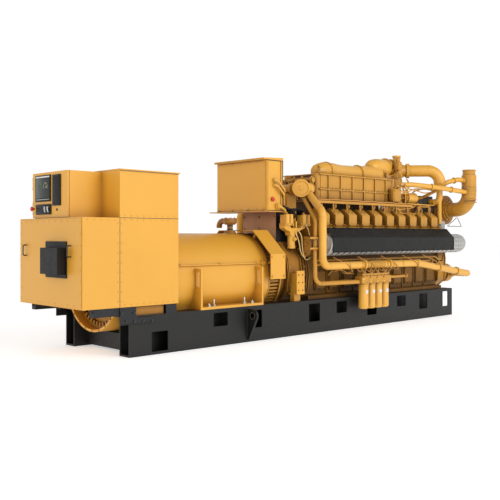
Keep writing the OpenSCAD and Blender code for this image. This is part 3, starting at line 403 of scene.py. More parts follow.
def new_tree(name, **inputs):
    """A Geometry Nodes tree with named inputs; returns the tree and its group input's outputs."""
    tree = bpy.data.node_groups.new(name, "GeometryNodeTree")
    tree.interface.new_socket("Geometry", in_out="INPUT", socket_type="NodeSocketGeometry")
    for key, default in inputs.items():
        socket = tree.interface.new_socket(
            key.replace("_", " "), in_out="INPUT", socket_type=SOCKETS[type(default)])
        if default is not None:
            socket.default_value = default
    tree.interface.new_socket("Geometry", in_out="OUTPUT", socket_type="NodeSocketGeometry")
    TREES[name] = tree
    return tree, add_node(tree, "NodeGroupInput").outputs


def close_tree(tree, made, given):
    """Ends a tree in Realize Instances and Set Material."""
    real = add_node(tree, "GeometryNodeRealizeInstances", inputs={"Geometry": made.outputs[0]})
    painted = add_node(tree, "GeometryNodeSetMaterial", inputs={
        "Geometry": real.outputs[0], "Material": given["Material"]})
    add_node(tree, "NodeGroupOutput", inputs={0: painted.outputs[0]})


def set_on_points(tree, given, instance):
    """Sets an instance on every point, with its +Z turned to the point's stored facing."""
    facing = add_node(tree, "GeometryNodeInputNamedAttribute", {"data_type": "FLOAT_VECTOR"},
                      {"Name": "facing"})
    turn = add_node(tree, "FunctionNodeAlignRotationToVector", {"axis": "Z"}, {"Vector": facing.outputs[0]})
    return add_node(tree, "GeometryNodeInstanceOnPoints", inputs={
        "Points": given["Geometry"], "Instance": instance.outputs[0], "Rotation": turn.outputs[0]})


def fastener_tree():
    """Bolt heads, screws or rivets on washers, one to a point."""
    tree, given = new_tree("Fasteners", Head_Width=0.03, Head_Height=0.014, Crown=0.86, Sides=6,
                           Washer_Width=0.04, Washer_Thickness=0.003, Material=None)
    half = add_node(tree, "ShaderNodeMath", {"operation": "MULTIPLY"}, {0: given["Head Width"], 1: 0.5})
    crown = add_node(tree, "ShaderNodeMath", {"operation": "MULTIPLY"},
                     {0: half.outputs[0], 1: given["Crown"]})
    head = add_node(tree, "GeometryNodeMeshCone", inputs={
        "Vertices": given["Sides"], "Radius Top": crown.outputs[0], "Radius Bottom": half.outputs[0],
        "Depth": given["Head Height"]})
    lift = add_node(tree, "ShaderNodeCombineXYZ", inputs={"Z": given["Washer Thickness"]})
    raised = add_node(tree, "GeometryNodeTransform", inputs={
        "Geometry": head.outputs[0], "Translation": lift.outputs[0]})
    wide = add_node(tree, "ShaderNodeMath", {"operation": "MULTIPLY"}, {0: given["Washer Width"], 1: 0.5})
    washer = add_node(tree, "GeometryNodeMeshCone", inputs={
        "Vertices": 12, "Radius Top": wide.outputs[0], "Radius Bottom": wide.outputs[0],
        "Depth": given["Washer Thickness"]})
    whole = add_node(tree, "GeometryNodeJoinGeometry")
    for made in (raised, washer):
        tree.links.new(made.outputs[0], whole.inputs[0])
    close_tree(tree, set_on_points(tree, given, whole), given)


def hose_tree():
    """Round hose, cable or tube along each run of edges, with its bends rounded."""
    tree, given = new_tree("Hose", Radius=0.01, Bend_Radius=0.05, Sides=10, Material=None)
    curve = add_node(tree, "GeometryNodeMeshToCurve", inputs={"Mesh": given["Geometry"]})
    bent = add_node(tree, "GeometryNodeFilletCurve", inputs={
        "Curve": curve.outputs[0], "Radius": given["Bend Radius"], "Limit Radius": True})
    if "Mode" in bent.inputs:
        bent.inputs["Mode"].default_value = "Poly"
    else:
        bent.mode = "POLY"
    bent.inputs["Count"].default_value = 5
    ring = add_node(tree, "GeometryNodeCurvePrimitiveCircle", inputs={
        "Resolution": given["Sides"], "Radius": given["Radius"]})
    tube = add_node(tree, "GeometryNodeCurveToMesh", inputs={
        "Curve": bent.outputs[0], "Profile Curve": ring.outputs[0], "Fill Caps": True})
    close_tree(tree, tube, given)


def band_tree():
    """Flat bands round a pipe, one to a point, such as hose clamps and lagging bands."""
    tree, given = new_tree("Bands", Radius=0.1, Width=0.02, Thickness=0.004, Material=None)
    ring = add_node(tree, "GeometryNodeCurvePrimitiveCircle",
                    inputs={"Resolution": 40, "Radius": given["Radius"]})
    strip = add_node(tree, "GeometryNodeCurvePrimitiveQuadrilateral", inputs={
        "Width": given["Thickness"], "Height": given["Width"]})
    band = add_node(tree, "GeometryNodeCurveToMesh", inputs={
        "Curve": ring.outputs[0], "Profile Curve": strip.outputs[0]})
    close_tree(tree, set_on_points(tree, given, band), given)


def slat_tree():
    """A row of tilted slats or ribs."""
    tree, given = new_tree("Slats", Count=10, Start=(0, 0, 0), Step=(0, 0, 0.02), Size=(0.1, 0.01, 0.01),
                           Tilt=(0, 0, 0), Material=None)
    line = add_node(tree, "GeometryNodeMeshLine", inputs={
        "Count": given["Count"], "Start Location": given["Start"], "Offset": given["Step"]})
    slat = add_node(tree, "GeometryNodeMeshCube", inputs={"Size": given["Size"]})
    turn = add_node(tree, "FunctionNodeEulerToRotation", inputs={0: given["Tilt"]})
    placed = add_node(tree, "GeometryNodeInstanceOnPoints", inputs={
        "Points": line.outputs[0], "Instance": slat.outputs[0], "Rotation": turn.outputs[0]})
    close_tree(tree, placed, given)


def wrap_tree():
    """Tape wound round a straight pipe along X, each turn lapped on the last."""
    tree, given = new_tree("Tape Wrap", Turns=20.0, Radius=0.1, Length=1.0, Tape_Width=0.05,
                           Tape_Thickness=0.003, Start=(0, 0, 0), Material=None)
    coil = add_node(tree, "GeometryNodeCurveSpiral", inputs={
        "Resolution": 40, "Rotations": given["Turns"], "Start Radius": given["Radius"],
        "End Radius": given["Radius"], "Height": given["Length"]})
    level = add_node(tree, "GeometryNodeSetCurveNormal", {"mode": "Z_UP"}, {"Curve": coil.outputs[0]})
    strip = add_node(tree, "GeometryNodeCurvePrimitiveQuadrilateral", inputs={
        "Width": given["Tape Thickness"], "Height": given["Tape Width"]})
    tape = add_node(tree, "GeometryNodeCurveToMesh", inputs={
        "Curve": level.outputs[0], "Profile Curve": strip.outputs[0], "Fill Caps": True})
    laid = add_node(tree, "GeometryNodeTransform", inputs={
        "Geometry": tape.outputs[0], "Translation": given["Start"], "Rotation": (0, math.radians(90), 0)})
    close_tree(tree, laid, given)


def soft_edge_tree():
    """Welds a solid's loose faces and shades its curved faces smoothly."""
    tree, given = new_tree("Soft Shading", Crease=0.6)
    whole = add_node(tree, "GeometryNodeMergeByDistance",
                     inputs={"Geometry": given["Geometry"], "Distance": 0.00002})
    smooth = add_node(tree, "GeometryNodeSetShadeSmooth", {"domain": "FACE"}, {
        0: whole.outputs[0], "Shade Smooth": True})
    angle = add_node(tree, "GeometryNodeInputMeshEdgeAngle")
    sharp = add_node(tree, "FunctionNodeCompare", {"data_type": "FLOAT", "operation": "GREATER_THAN"}, {
        0: angle.outputs["Unsigned Angle"], 1: given["Crease"]})
    creased = add_node(tree, "GeometryNodeSetShadeSmooth", {"domain": "EDGE"}, {
        0: smooth.outputs[0], "Selection": sharp.outputs[0], "Shade Smooth": False})
    add_node(tree, "NodeGroupOutput", inputs={0: creased.outputs[0]})


# ------------------------------------------------------------------ settings

class GENSET_PG_finishes(bpy.types.PropertyGroup):
    """Colours of the main finishes"""

    yellow: bpy.props.StringProperty(
        name="Enamel", description="Colour of the sheet metal's enamel, as sRGB hex", default="#dda136")
    cast: bpy.props.StringProperty(
        name="Cast enamel", description="Colour of the enamel on castings, as sRGB hex", default="#c48c31")
    skid: bpy.props.StringProperty(
        name="Skid", description="Colour of the skid's enamel, as sRGB hex", default="#161615")
    # Painted shade: the pedestal's brown colour stands for its surface in shadow.
    pedestal: bpy.props.StringProperty(
        name="Pedestal", description="Colour of the pedestal's primer, as sRGB hex", default="#bd8c62")


class GENSET_PG_fittings(bpy.types.PropertyGroup):
    """Sizes of the small fittings"""

    bolt_width: bpy.props.FloatProperty(
        name="Bolt width", description="Width of the bolt heads on castings",
        default=0.03, min=0.012, max=0.045, subtype="DISTANCE", unit="LENGTH")
    rivet_width: bpy.props.FloatProperty(
        name="Rivet width", description="Width of the rivets on the sheet-metal boxes",
        default=0.016, min=0.006, max=0.03, subtype="DISTANCE", unit="LENGTH")
    cable_radius: bpy.props.FloatProperty(
        name="Cable radius", description="Radius of the wiring on the engine",
        default=0.008, min=0.003, max=0.016, subtype="DISTANCE", unit="LENGTH")
    tape_pitch: bpy.props.FloatProperty(
        name="Tape pitch", description="Pitch of the heat tape wound on the manifolds",
        default=0.12, min=0.04, max=0.15, subtype="DISTANCE", unit="LENGTH")


class GENSET_PG_stage(bpy.types.PropertyGroup):
    """Light on the stage"""

    sky: bpy.props.FloatProperty(name="Sky", description="Strength of the white studio surround",
                                 default=1.02, min=0.1, max=2.0)
    key: bpy.props.FloatProperty(name="Key light", description="Power of the large light beside the set",
                                 default=860.0, min=0.0, max=6000.0, subtype="POWER", unit="POWER")


# ----------------------------------------------------------------- operators

class GENSET_OT_stage(bpy.types.Operator):
    """Set out the floor, the soft lights and the camera"""

    bl_idname = "genset.stage"
    bl_label = "Stage"

    def execute(self, context):
        scene, light_of = context.scene, context.scene.genset_stage
        white = (1, 1, 1, 1)
        mesh = bpy.data.meshes.new("floor")
        half = 60.0
        mesh.from_pydata([(x * half, y * half, 0) for x, y in ((-1, -1), (1, -1), (1, 1), (-1, 1))], [],
                         [(0, 1, 2, 3)])
        floor = bpy.data.objects.new("floor", mesh)
        scene.collection.objects.link(floor)
        shader = plain("pale_floor", "#fbfbfb", 0.85, grain_mm=400)
        shader.inputs["Emission Color"].default_value = white
        shader.inputs["Emission Strength"].default_value = 0.45
        mesh.materials.append(FINISH["pale_floor"])

        # White walls that grow darker overhead, as in a product studio
        scene.world = bpy.data.worlds.new("studio")
        scene.world.use_nodes = True
        tree = scene.world.node_tree
        way = add_node(tree, "ShaderNodeTexCoord").outputs["Generated"]
        rise = add_node(tree, "ShaderNodeSeparateXYZ", inputs={"Vector": way}).outputs["Z"]
        sky = add_node(tree, "ShaderNodeMapRange", inputs={
            "Value": rise, "From Min": 0.34, "From Max": 0.8, "To Min": light_of.sky,
            "To Max": light_of.sky * 0.3})
        background = tree.nodes["Background"]
        background.inputs["Color"].default_value = white
        tree.links.new(sky.outputs[0], background.inputs["Strength"])
        scene.view_settings.view_transform = "Standard"

        for name, place, target, size, power in (
            ("near_key", (0.0, -14, 7.5), (-0.4, 0, 1.0), 9.0, light_of.key),
            ("end_fill", (-14, -3, 6.0), (-2, 0, 1.0), 6.0, light_of.key * 0.14),
        ):
            light = bpy.data.lights.new(name, "AREA")
            light.energy, light.size = power, size
            lamp = bpy.data.objects.new(name, light)
            lamp.location = place
            lamp.rotation_euler = (Vector(target) - Vector(place)).to_track_quat("-Z", "Y").to_euler()
            scene.collection.objects.link(lamp)

        lens = bpy.data.cameras.new("camera")
        lens.lens, lens.sensor_width = 53.19, 36.0
        lens.shift_y = -0.0272
        lens.clip_end = 300
        camera = bpy.data.objects.new("camera", lens)
        camera.location = (-7.4019, -7.0031, 1.25)
        camera.rotation_euler = (math.radians(90), 0, math.radians(46.54 - 90))
        scene.collection.objects.link(camera)
        scene.camera = camera
        return {"FINISHED"}


def mix_finishes(colours):
    """Makes every material once. A surface takes its base colour and its painted shade colour, the distance
    in millimetres that the painted shade spans, its drift and the drift's size, its grain's size and depth,
    and its roughness."""
    # Sprayed machine enamel on sheet steel: soft gloss, flat colour, with painted shade in deeper amber where
    # sheets meet.
    surface("yellow_enamel", colours.yellow, "#a8721f", 150, 0.03, 900, 45, 0.03, (0.34, 0.42))
    # The same enamel brushed and sprayed over sand castings: uneven gloss, with painted brown shade in every
    # recess.
    surface("cast_enamel", colours.cast, "#5c380a", 240, 0.09, 260, 26, 0.22, (0.38, 0.56), specular=0.4)
    # Machine enamel on drawn tube: smoother than the castings.
    surface("pipe_enamel", "#e3a840", "#8d6119", 150, 0.05, 300, 30, 0.06, (0.28, 0.38))
    # Enamel on the crankcase's flank, painted dark brown as painted shade beneath the shields and pipes.
    surface("oily_cast_enamel", "#8f631e", "#281a06", 360, 0.14, 220, 22, 0.25, (0.45, 0.65), specular=0.3)
    # Enamel on the housings between, painted darker and browner than on the boxes as painted shade.
    surface("dull_cast_enamel", "#ab7424", "#462e0c", 300, 0.12, 240, 24, 0.22, (0.42, 0.6), specular=0.35)
    # Enamel on the turbochargers, painted darker and browner as painted shade.
    surface("baked_enamel", "#97641d", "#3c2508", 260, 0.14, 180, 24, 0.22, (0.42, 0.6), specular=0.35)
    # Semi-gloss black enamel on rolled steel: grey where it catches light.
    surface("black_enamel", colours.skid, "#060606", 140, 0.12, 500, 38, 0.08, (0.42, 0.56), specular=0.38)
    # Blue-grey primer on the folded brackets.
    surface("bracket_enamel", "#16181b", "#0a0b0d", 90, 0.08, 260, 30, 0.08, (0.45, 0.6), specular=0.4)
    # Satin powder coat on the heat shields, with painted shade that darkens the faces pointing up.
    tree, shader = surface("satin_black", "#1b1b1a", "#0a0a09", 60, 0.08, 700, 60, 0.05, (0.42, 0.55),
                           specular=0.22)
    facing = add_node(tree, "ShaderNodeNewGeometry").outputs["Normal"]
    upward = add_node(tree, "ShaderNodeSeparateXYZ", inputs={"Vector": facing}).outputs["Z"]
    # Painted shade: faces that point up are mixed towards near-black.
    top_shade = add_node(tree, "ShaderNodeMapRange", inputs={"Value": upward, "From Min": 0.3, "From Max": 0.65})
    coat = shader.inputs["Base Color"].links[0].from_socket
    top_shaded_coat = add_node(tree, "ShaderNodeMix", {"data_type": "RGBA"}, {
        0: top_shade.outputs[0], 6: coat, 7: linear("#070605")})
    tree.links.new(top_shaded_coat.outputs[2], shader.inputs["Base Color"])
    # The pedestal casting, painted matt and pinkish brown as painted shade where it sits in shadow.
    surface("brown_primer", colours.pedestal, "#7a5236", 150, 0.08, 200, 24, 0.15, (0.55, 0.7))
    # Orange-brown primer on the breather.
    surface("amber_primer", "#9c6a27", "#3e2706", 110, 0.1, 120, 18, 0.15, (0.42, 0.55))
    # Foil-faced glass tape: bright, crinkled, with soft highlights.
    surface("foil_tape", "#dcdcd9", "#b4b4b0", 30, 0.14, 60, 20, 0.5, (0.3, 0.5), 0.2)
    # Foil-faced lagging on the logs' ends, dulled by heat.
    surface("aged_foil", "#a3a39f", "#62625f", 60, 0.12, 70, 22, 0.5, (0.35, 0.5), 0.3)
    # Dark glass cloth under the tape.
    surface("lagging_cloth", "#2a2826", "#141312", 60, 0.12, 90, 8, 0.3, (0.6, 0.8))
    # Bare grey iron, browned by heat.
    surface("bare_iron", "#8a6f4e", "#3d2a17", 160, 0.2, 160, 20, 0.3, (0.5, 0.7), 0.3)
    plain("zinc_plate", "#c9c6bd", 0.32, 1.0)                 # bright zinc: small sharp glints
    plain("dark_steel", "#4a4a4b", 0.4, 0.9)                  # blackened steel screws and pins
    plain("black_rubber", "#151515", 0.62)                    # extruded rubber: dull, even
    plain("grey_conduit", "#77746c", 0.5)                     # plastic-sheathed conduit
    plain("amber_cable", "#c88a3c", 0.5)                      # overspray on wiring
    plain("cream_sheath", "#e0bd78", 0.5)                     # cream silicone over the sensor leads
    plain("black_abs", "#0e0e0f", 0.45, specular=0.25)        # moulded ABS bezels
    plain("screen_glass", "#222a28", 0.2, specular=0.3)       # matt glass over a dark display
    plain("pale_abs", "#d9d8d2", 0.45)                        # light grey keys and knobs
    plain("signal_red", "#c3201c", 0.35)                      # glossy red push button
    plain("signal_yellow", "#e8c21a", 0.4)                    # yellow collar behind it
    plain("lamp_green", "#54845a", 0.4)                       # green marks behind the display's glass
    plain("lamp_amber", "#b3a47c", 0.4)                       # pale amber marks behind it
    plain("hood_grey", "#424242", 0.5)                        # grey powder coat


NODE_FINISH = {
    "black_enamel": "rail_near rail_far cross_members lifting_lugs",
    "bracket_enamel": "box_brackets",
    "yellow_enamel": "generator_frame generator_feet drive_end_cover cable_box terminal_box_lower "
                     "terminal_box_upper control_panel_housing control_panel_door junction_box engine_mounts",
    "cast_enamel": "generator_end_ring drive_end_screen cylinder_heads rocker_covers "
                   "aftercooler air_inlet_elbows gear_case water_pumps filter_head gas_valve harness_ducts",
    "dull_cast_enamel": "generator_pads flywheel_housing",
    "baked_enamel": "turbochargers",
    "oily_cast_enamel": "crankcase crankcase_covers",
    "pipe_enamel": "intake_duct charge_air_pipe water_outlet coolant_pipes "
                   "thermostat_housing oil_filters",
    "brown_primer": "junction_stand",
    "amber_primer": "breather",
    "satin_black": "manifold_shields cable_vent_hood",
    "aged_foil": "exhaust_manifolds",
    "bare_iron": "exhaust_collector",
    "dark_steel": "control_panel_hinges cable_box_handles",
}


class GENSET_OT_paint(bpy.types.Operator):
    """Give every solid of the frame its finish and soft shading"""

    bl_idname = "genset.paint"
    bl_label = "Paint"

    def execute(self, context):
        mix_finishes(context.scene.genset_finishes)
        for build in (fastener_tree, hose_tree, band_tree, slat_tree, wrap_tree, soft_edge_tree):
            build()
        left = set(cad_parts)
        for finish, names in NODE_FINISH.items():
            for name in names.split():
                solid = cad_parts[name]
                solid.data.materials.clear()
                solid.data.materials.append(FINISH[finish])
                solid.modifiers.new("soft_shading", "NODES").node_group = TREES["Soft Shading"]
                left.discard(name)
        if left:
            raise RuntimeError("no finish for " + ", ".join(sorted(left)))
        return {"FINISHED"}


class GENSET_OT_panel(bpy.types.Operator):
    """Fit the display, switches, vent and stop button to the control panel's door"""

    bl_idname = "genset.panel"
    bl_label = "Control panel"

    def execute(self, context):
        # The front of the door's raised frames, and the foot of the panel
        face, sill = BOX["control_panel_door"][0][0], BOX["control_panel_housing"][0][2]

        def fit(name, finish, forms):
            shaped(name, finish, forms, (face, 0, sill), DOOR)

        def dial(y, z, radius):
            """An arc of a dial drawn on the screen."""
            turns = [math.radians(-40 + 26 * k) for k in range(11)]
            return (sweep, [(-7, y + radius * math.cos(a), z + radius * math.sin(a)) for a in turns], 2, 6)

        switch_ys, switch_z = (50, 112), 94
        fit("panel_bezels", "black_abs", [
            (slab, (-5, y0 - 2, z0 - 2), (4, y1 + 2, z1 + 2), 2.5)
            for y0, y1, z0, z1 in ((18, 346, 179, 454), (-189, -24, 131, 448), (8, 332, 43, 147))] + [
            (turned, (-4, y, switch_z), FORE, [(0, 21), (5, 21), (8, 17), (10, 17), (10, 0)])
            for y in switch_ys])
        fit("panel_screen", "screen_glass", [(slab, (-7, 38, 214), (-4, 326, 424), 1.5)])
        fit("panel_screen_bars", "pale_abs", [
            (slab, (-8, 36, 430), (-4, 328, 444), 1), (slab, (-8, 44, 197), (-4, 320, 201), 1)])
        fit("panel_gauges", "lamp_green", [dial(224, 340, 40), dial(224, 340, 24)])
        fit("panel_readings", "lamp_amber", [dial(116, 338, 40)] + [
            (slab, (-7.8, y, z), (-6, y + 12, z + 12), 0.5) for y, z in ((88, 330), (112, 356), (104, 322))])
        grown("panel_vent_slats", "Slats", "bracket_enamel", body=DOOR, Count=17,
              Start=((face - 6) * MM, -0.1065, (sill + 148) * MM), Step=(0, 0, 0.0178),
              Size=(0.008, 0.146, 0.0035), Tilt=(0, math.radians(-35), 0))
        grip = ((-5, 28), (6, 30), (9, 12), (7, -12), (-8, -32), (-10, -26), (-4, 0))
        fit("panel_switches", "pale_abs", [
            (prism, [(y + a, switch_z + b) for a, b in grip], 0, -24, -13) for y in switch_ys])
        fit("panel_knobs", "hood_grey", [
            (turned, (-4, y, switch_z), FORE, [(0, 11), (9, 11), (12, 7), (12, 0)], 16)
            for y in (176, 218, 260, 302)])
        fit("panel_stop_collar", "signal_yellow", [
            (turned, (5, 369, 105), FORE, [(0, 30), (6, 30), (8, 27), (10, 20), (10, 0)])])
        fit("panel_stop_button", "signal_red", [
            (turned, (-4, 369, 105), FORE,
             [(0, 13), (20, 13), (20, 23), (26, 26), (34, 24), (40, 14), (41, 0)])])
        fit("panel_key_lock", "dark_steel", [
            (turned, (5, -107, 87), FORE, [(0, 13), (5, 13), (8, 9), (8, 4), (4, 4), (4, 0)], 18)])
        return {"FINISHED"}


class GENSET_OT_boxes(bpy.types.Operator):
    """Rivet and trim the terminal boxes and the cable box"""

    bl_idname = "genset.boxes"
    bl_label = "Boxes"
    # Rivet the terminal boxes and the cable box, line their seams, and paint shade under the roof's edge

    def execute(self, context):
        side, front = [], []
        for x in (BOX_X0 - 22, BOX_X0 + 22):
            side += row((x, BOX_Y, BOX_Z0 + 60), (x, BOX_Y, BOX_Z1 - 60), 9, OUT)
        for x0, x1, z, count in ((BOX_X0, BOX_X1, BOX_Z1 + 22, 9), (BOX_X0, BOX_X1, BOX_Z1 - 22, 9),
                                 (CABLE_X0, BOX_X0, BOX_Z1 - 24, 5), (BOX_X0, BOX_X1, BOX_Z0 + 24, 9)):
            side += row((x0 + 60, BOX_Y, z), (x1 - 60, BOX_Y, z), count, OUT)
        side += row((CABLE_X0, BOX_Y - 34, BOX_Z0 + 50), (CABLE_X0, BOX_Y - 34, BOX_Z1 - 50), 8, FORE)
        side += row((BOX_X1, BOX_Y - 30, BOX_Z0 + 60), (BOX_X1, BOX_Y - 30, BOX_Z1 + 440), 12, AFT)
        for z in (BOX_Z0 + 34, BOX_Z1 - 34):
            front += row((CABLE_X0, 150 - BOX_Y, z), (CABLE_X0, BOX_Y - 150, z), 9, FORE)
        rivets("box_rivets", both(side) + front, context.scene.genset_fittings.rivet_width / MM)
        shaped("box_seams", "dark_steel", both([
            (slab, (BOX_X0 - 2.5, BOX_Y, BOX_Z0 + 2), (BOX_X0 + 2.5, BOX_Y + 1.5, BOX_Z1 - 2), 0.4),
            (slab, (BOX_X0 + 2, BOX_Y, BOX_Z1 - 2.5), (BOX_X1 - 2, BOX_Y + 1.5, BOX_Z1 + 2.5), 0.4)]))
        # Painted shade: a dark strip under the roof's edge on the near, far and rear faces.
        top = BOX["terminal_box_upper"][1][2] - 12
        shaped("roof_trim", "bare_iron", both([
            (slab, (BOX_X0 + 2, BOX_Y, top - 9), (BOX_X1 - 2, BOX_Y + 6, top - 0.5), 1)]) + [
            (slab, (BOX_X1, -BOX_Y, top - 9), (BOX_X1 + 6, BOX_Y, top - 0.5), 1)])
        return {"FINISHED"}


class GENSET_OT_junction_box(bpy.types.Operator):
    """Fit the engine's junction box with its door seam, buttons, glands and conduits"""

    bl_idname = "genset.junction_box"
    bl_label = "Junction box"

    def execute(self, context):
        low, high = BOX["junction_box"]
        half, x1, z0 = high[1] - 6, high[0] - 6, low[2]
        wide, tall = x1 - low[0] - 40, high[2] - 36 - z0
        corner, middle = (x1, -half, z0), (x1, 0, z0)

        shaped("junction_seams", "cast_enamel", both([
            (slab, (8 - wide, half, 4), (44 - wide, half + 7, tall - 4), 2),
            (slab, (-40, half, 4), (-6, half + 7, tall - 4), 2)]) + [
            (slab, (0, 26 - half, 20), (8, half - 26, tall - 20), 3)], middle)
        shaped("junction_buttons", "pipe_enamel", [
            (turned, (-164, 0, z), NEAR,
             [(-2, r), (10, r), (14, r - 5), (34, r - 6), (38, r - 10), (38, 0)], 20)
            for z, r in ((388, 23), (322, 21))] + [
            (turned, (-106, 0, 60), NEAR, [(-2, 34), (16, 34), (24, 27), (50, 25), (50, 0)], 20)], corner)
        shaped("junction_stop", "signal_red", [
            (turned, (-185, 0, 145), NEAR,
             [(-2, 20), (8, 20), (14, 28), (24, 25), (30, 12), (31, 0)], 20)], corner)
        hoses("junction_conduits", (
            [(-164, -30, 388), (-120, -48, 372), (-10, -52, 262), (40, 20, 190), (60, 60, 40),
             (110, 70, -40)],
            [(-164, -30, 322), (-130, -44, 316), (-22, -48, 214), (34, 10, 150), (64, 40, -30),
             (150, 60, -60)],
            [(-106, -46, 60), (-60, -56, 40), (20, -40, 6), (60, 30, -46), (190, 90, -70)]),
            12, "pipe_enamel", 70, 10, corner)
        hoses("junction_cables", (
            [(2, -120, 150), (70, -120, 140), (150, -140, 60), (170, -150, -90)],
            [(2, -60, 150), (90, -60, 130), (170, -70, 40), (190, -90, -90)],
            [(2, 60, 150), (90, 60, 130), (170, 70, 40), (190, 90, -90)],
            [(2, 140, 150), (90, 140, 120), (160, 160, 50), (170, 170, -90)]),
            15, "black_rubber", 60, 10, middle)
        x0, z1 = x1 - wide, z0 + tall
        screws = both(row((x0, half - 30, z0 + 40), (x0, half - 30, z1 - 40), 5, FORE)
                      + row((x0 + 26, half + 7, z0 + 50), (x0 + 26, half + 7, z1 - 50), 5, OUT))
        for z in (z0 + 28, z1 - 28):
            screws += row((x0, 150 - half, z), (x0, half - 150, z), 5, FORE)
        rivets("junction_screws", screws, 15)
        shaped("junction_gaskets", "black_rubber", both([
            (slab, (-5, half + 1, 2), (4, half + 9, tall - 1), 2),
            (slab, (4 - wide, half + 1, tall - 9), (4, half + 9, tall - 1), 2),
            (slab, (4 - wide, half + 1, 1), (4, half + 9, 7), 2)]), middle)

        # Yellow skin on the base plate's edges, and black plates beside the pedestal that paint shade over
        # its near face
        (sx0, sy0, _), (sx1, sy1, _) = BOX["junction_stand"]
        foot = SHAFT_Z + 811
        shaped("junction_base_skin", "yellow_enamel", [
            (slab, (sx0 - 3, sy0 - 3, foot), (sx0 + 1, sy1 + 3, z0 - 1), 1),
            (slab, (sx0 - 3, sy0 - 3, foot), (high[0] + 2, sy0 + 1, z0 - 1), 1),
            (slab, (sx0 - 3, sy1 - 1, foot), (high[0] + 2, sy1 + 3, z0 - 1), 1)])
        shaped("pedestal_duct", "black_enamel", both([
            (slab, (-268, 306, 432), (4, 320, 807), 3), (slab, (-240, 318, 470), (-40, 327, 771), 4),
            (slab, (-1, 210, 440), (40, 320, 805), 4)]), (sx1, 0, SHAFT_Z))
        shaped("junction_hood_lip", "cast_enamel", [
            (slab, (low[0] - 4, low[1] - 2, high[2] - 44), (low[0] + 3, high[1] + 2, high[2] - 16), 2)])
        bolts("junction_base_bolts", row((sx0 + 14, -420, z0), (sx0 + 14, 420, z0), 4, UP)
              + [((sx0 + 60, -half, z0 - 12), DOWN)], 20, "dark_steel")
        bolts("pedestal_bolts", [place for z in (470, 600, 750) for place in
                                 row((-600, -280, SHAFT_Z + z), (-600, 280, SHAFT_Z + z), 3, FORE)],
              26, "brown_primer")
        return {"FINISHED"}


class GENSET_OT_skid(bpy.types.Operator):
    """Bolt the brackets and the alternator to the skid, and line its windows"""

    bl_idname = "genset.skid"
    bl_label = "Skid"

    def execute(self, context):
        bolts("bracket_bolts", both([((x, BOX_Y, z), OUT) for x, z in (
            (-3180, 466), (-3130, 385), (-3034, 461), (-3028, 370), (-2917, 369), (-2809, 366))] + [
            ((-3490, RAIL_Y - 20, 470), FORE), ((-3504, RAIL_Y - 30, 490), FORE)]), 22, "dark_steel")

        feet, studs = BOX["generator_feet"], []
        for from_end, from_edge, tall in ((250, 70, 74), (150, 40, 34)):
            for x in (feet[0][0] + from_end, feet[1][0] - from_end):
                y = RAIL_Y - from_edge
                studs += [(turned, (x, y, RAIL_TOP + 28), UP,
                           [(-1, 26), (5, 26), (5, 9), (tall, 9), (tall + 3, 7), (tall + 3, 0)], 12),
                          (turned, (x, y, RAIL_TOP + 33), UP, [(0, 19), (14, 19), (18, 15), (18, 0)], 6)]
        shaped("foot_studs", "zinc_plate", both(studs))

        # Worn bright rings round the shackles' bores
        lugs = BOX["lifting_lugs"]
        lug_x = (lugs[0][0] + lugs[1][0]) / 2
        shaped("lug_collars", "zinc_plate", both([
            (turned, (lug_x + 15 * way, 727, 318), (way, 0, 0),
             [(-3, 44), (2.5, 44), (2.5, 34), (-3, 34)], 32)
            for way in SIDES]))
        shaped("window_liners", "black_enamel", both([
            (turned, (x, 549.5, 20), UP, [(-4, 34), (4, 34), (4, 16), (-4, 16)], 20) for x in (-2900, 2900)]))

        # Fillet welds along the brackets' feet and the lugs
        hoses("skid_welds", both([[(-2786, BOX_Y + 1, RAIL_TOP - 79), (-3198, BOX_Y + 1, RAIL_TOP - 79)]] + [
            [(x, RAIL_Y + 2, 60), (x, RAIL_Y + 2, 384)] for x in (lugs[0][0] - 2, lugs[1][0] + 2)]),
            5, "black_enamel", 1)
        return {"FINISHED"}


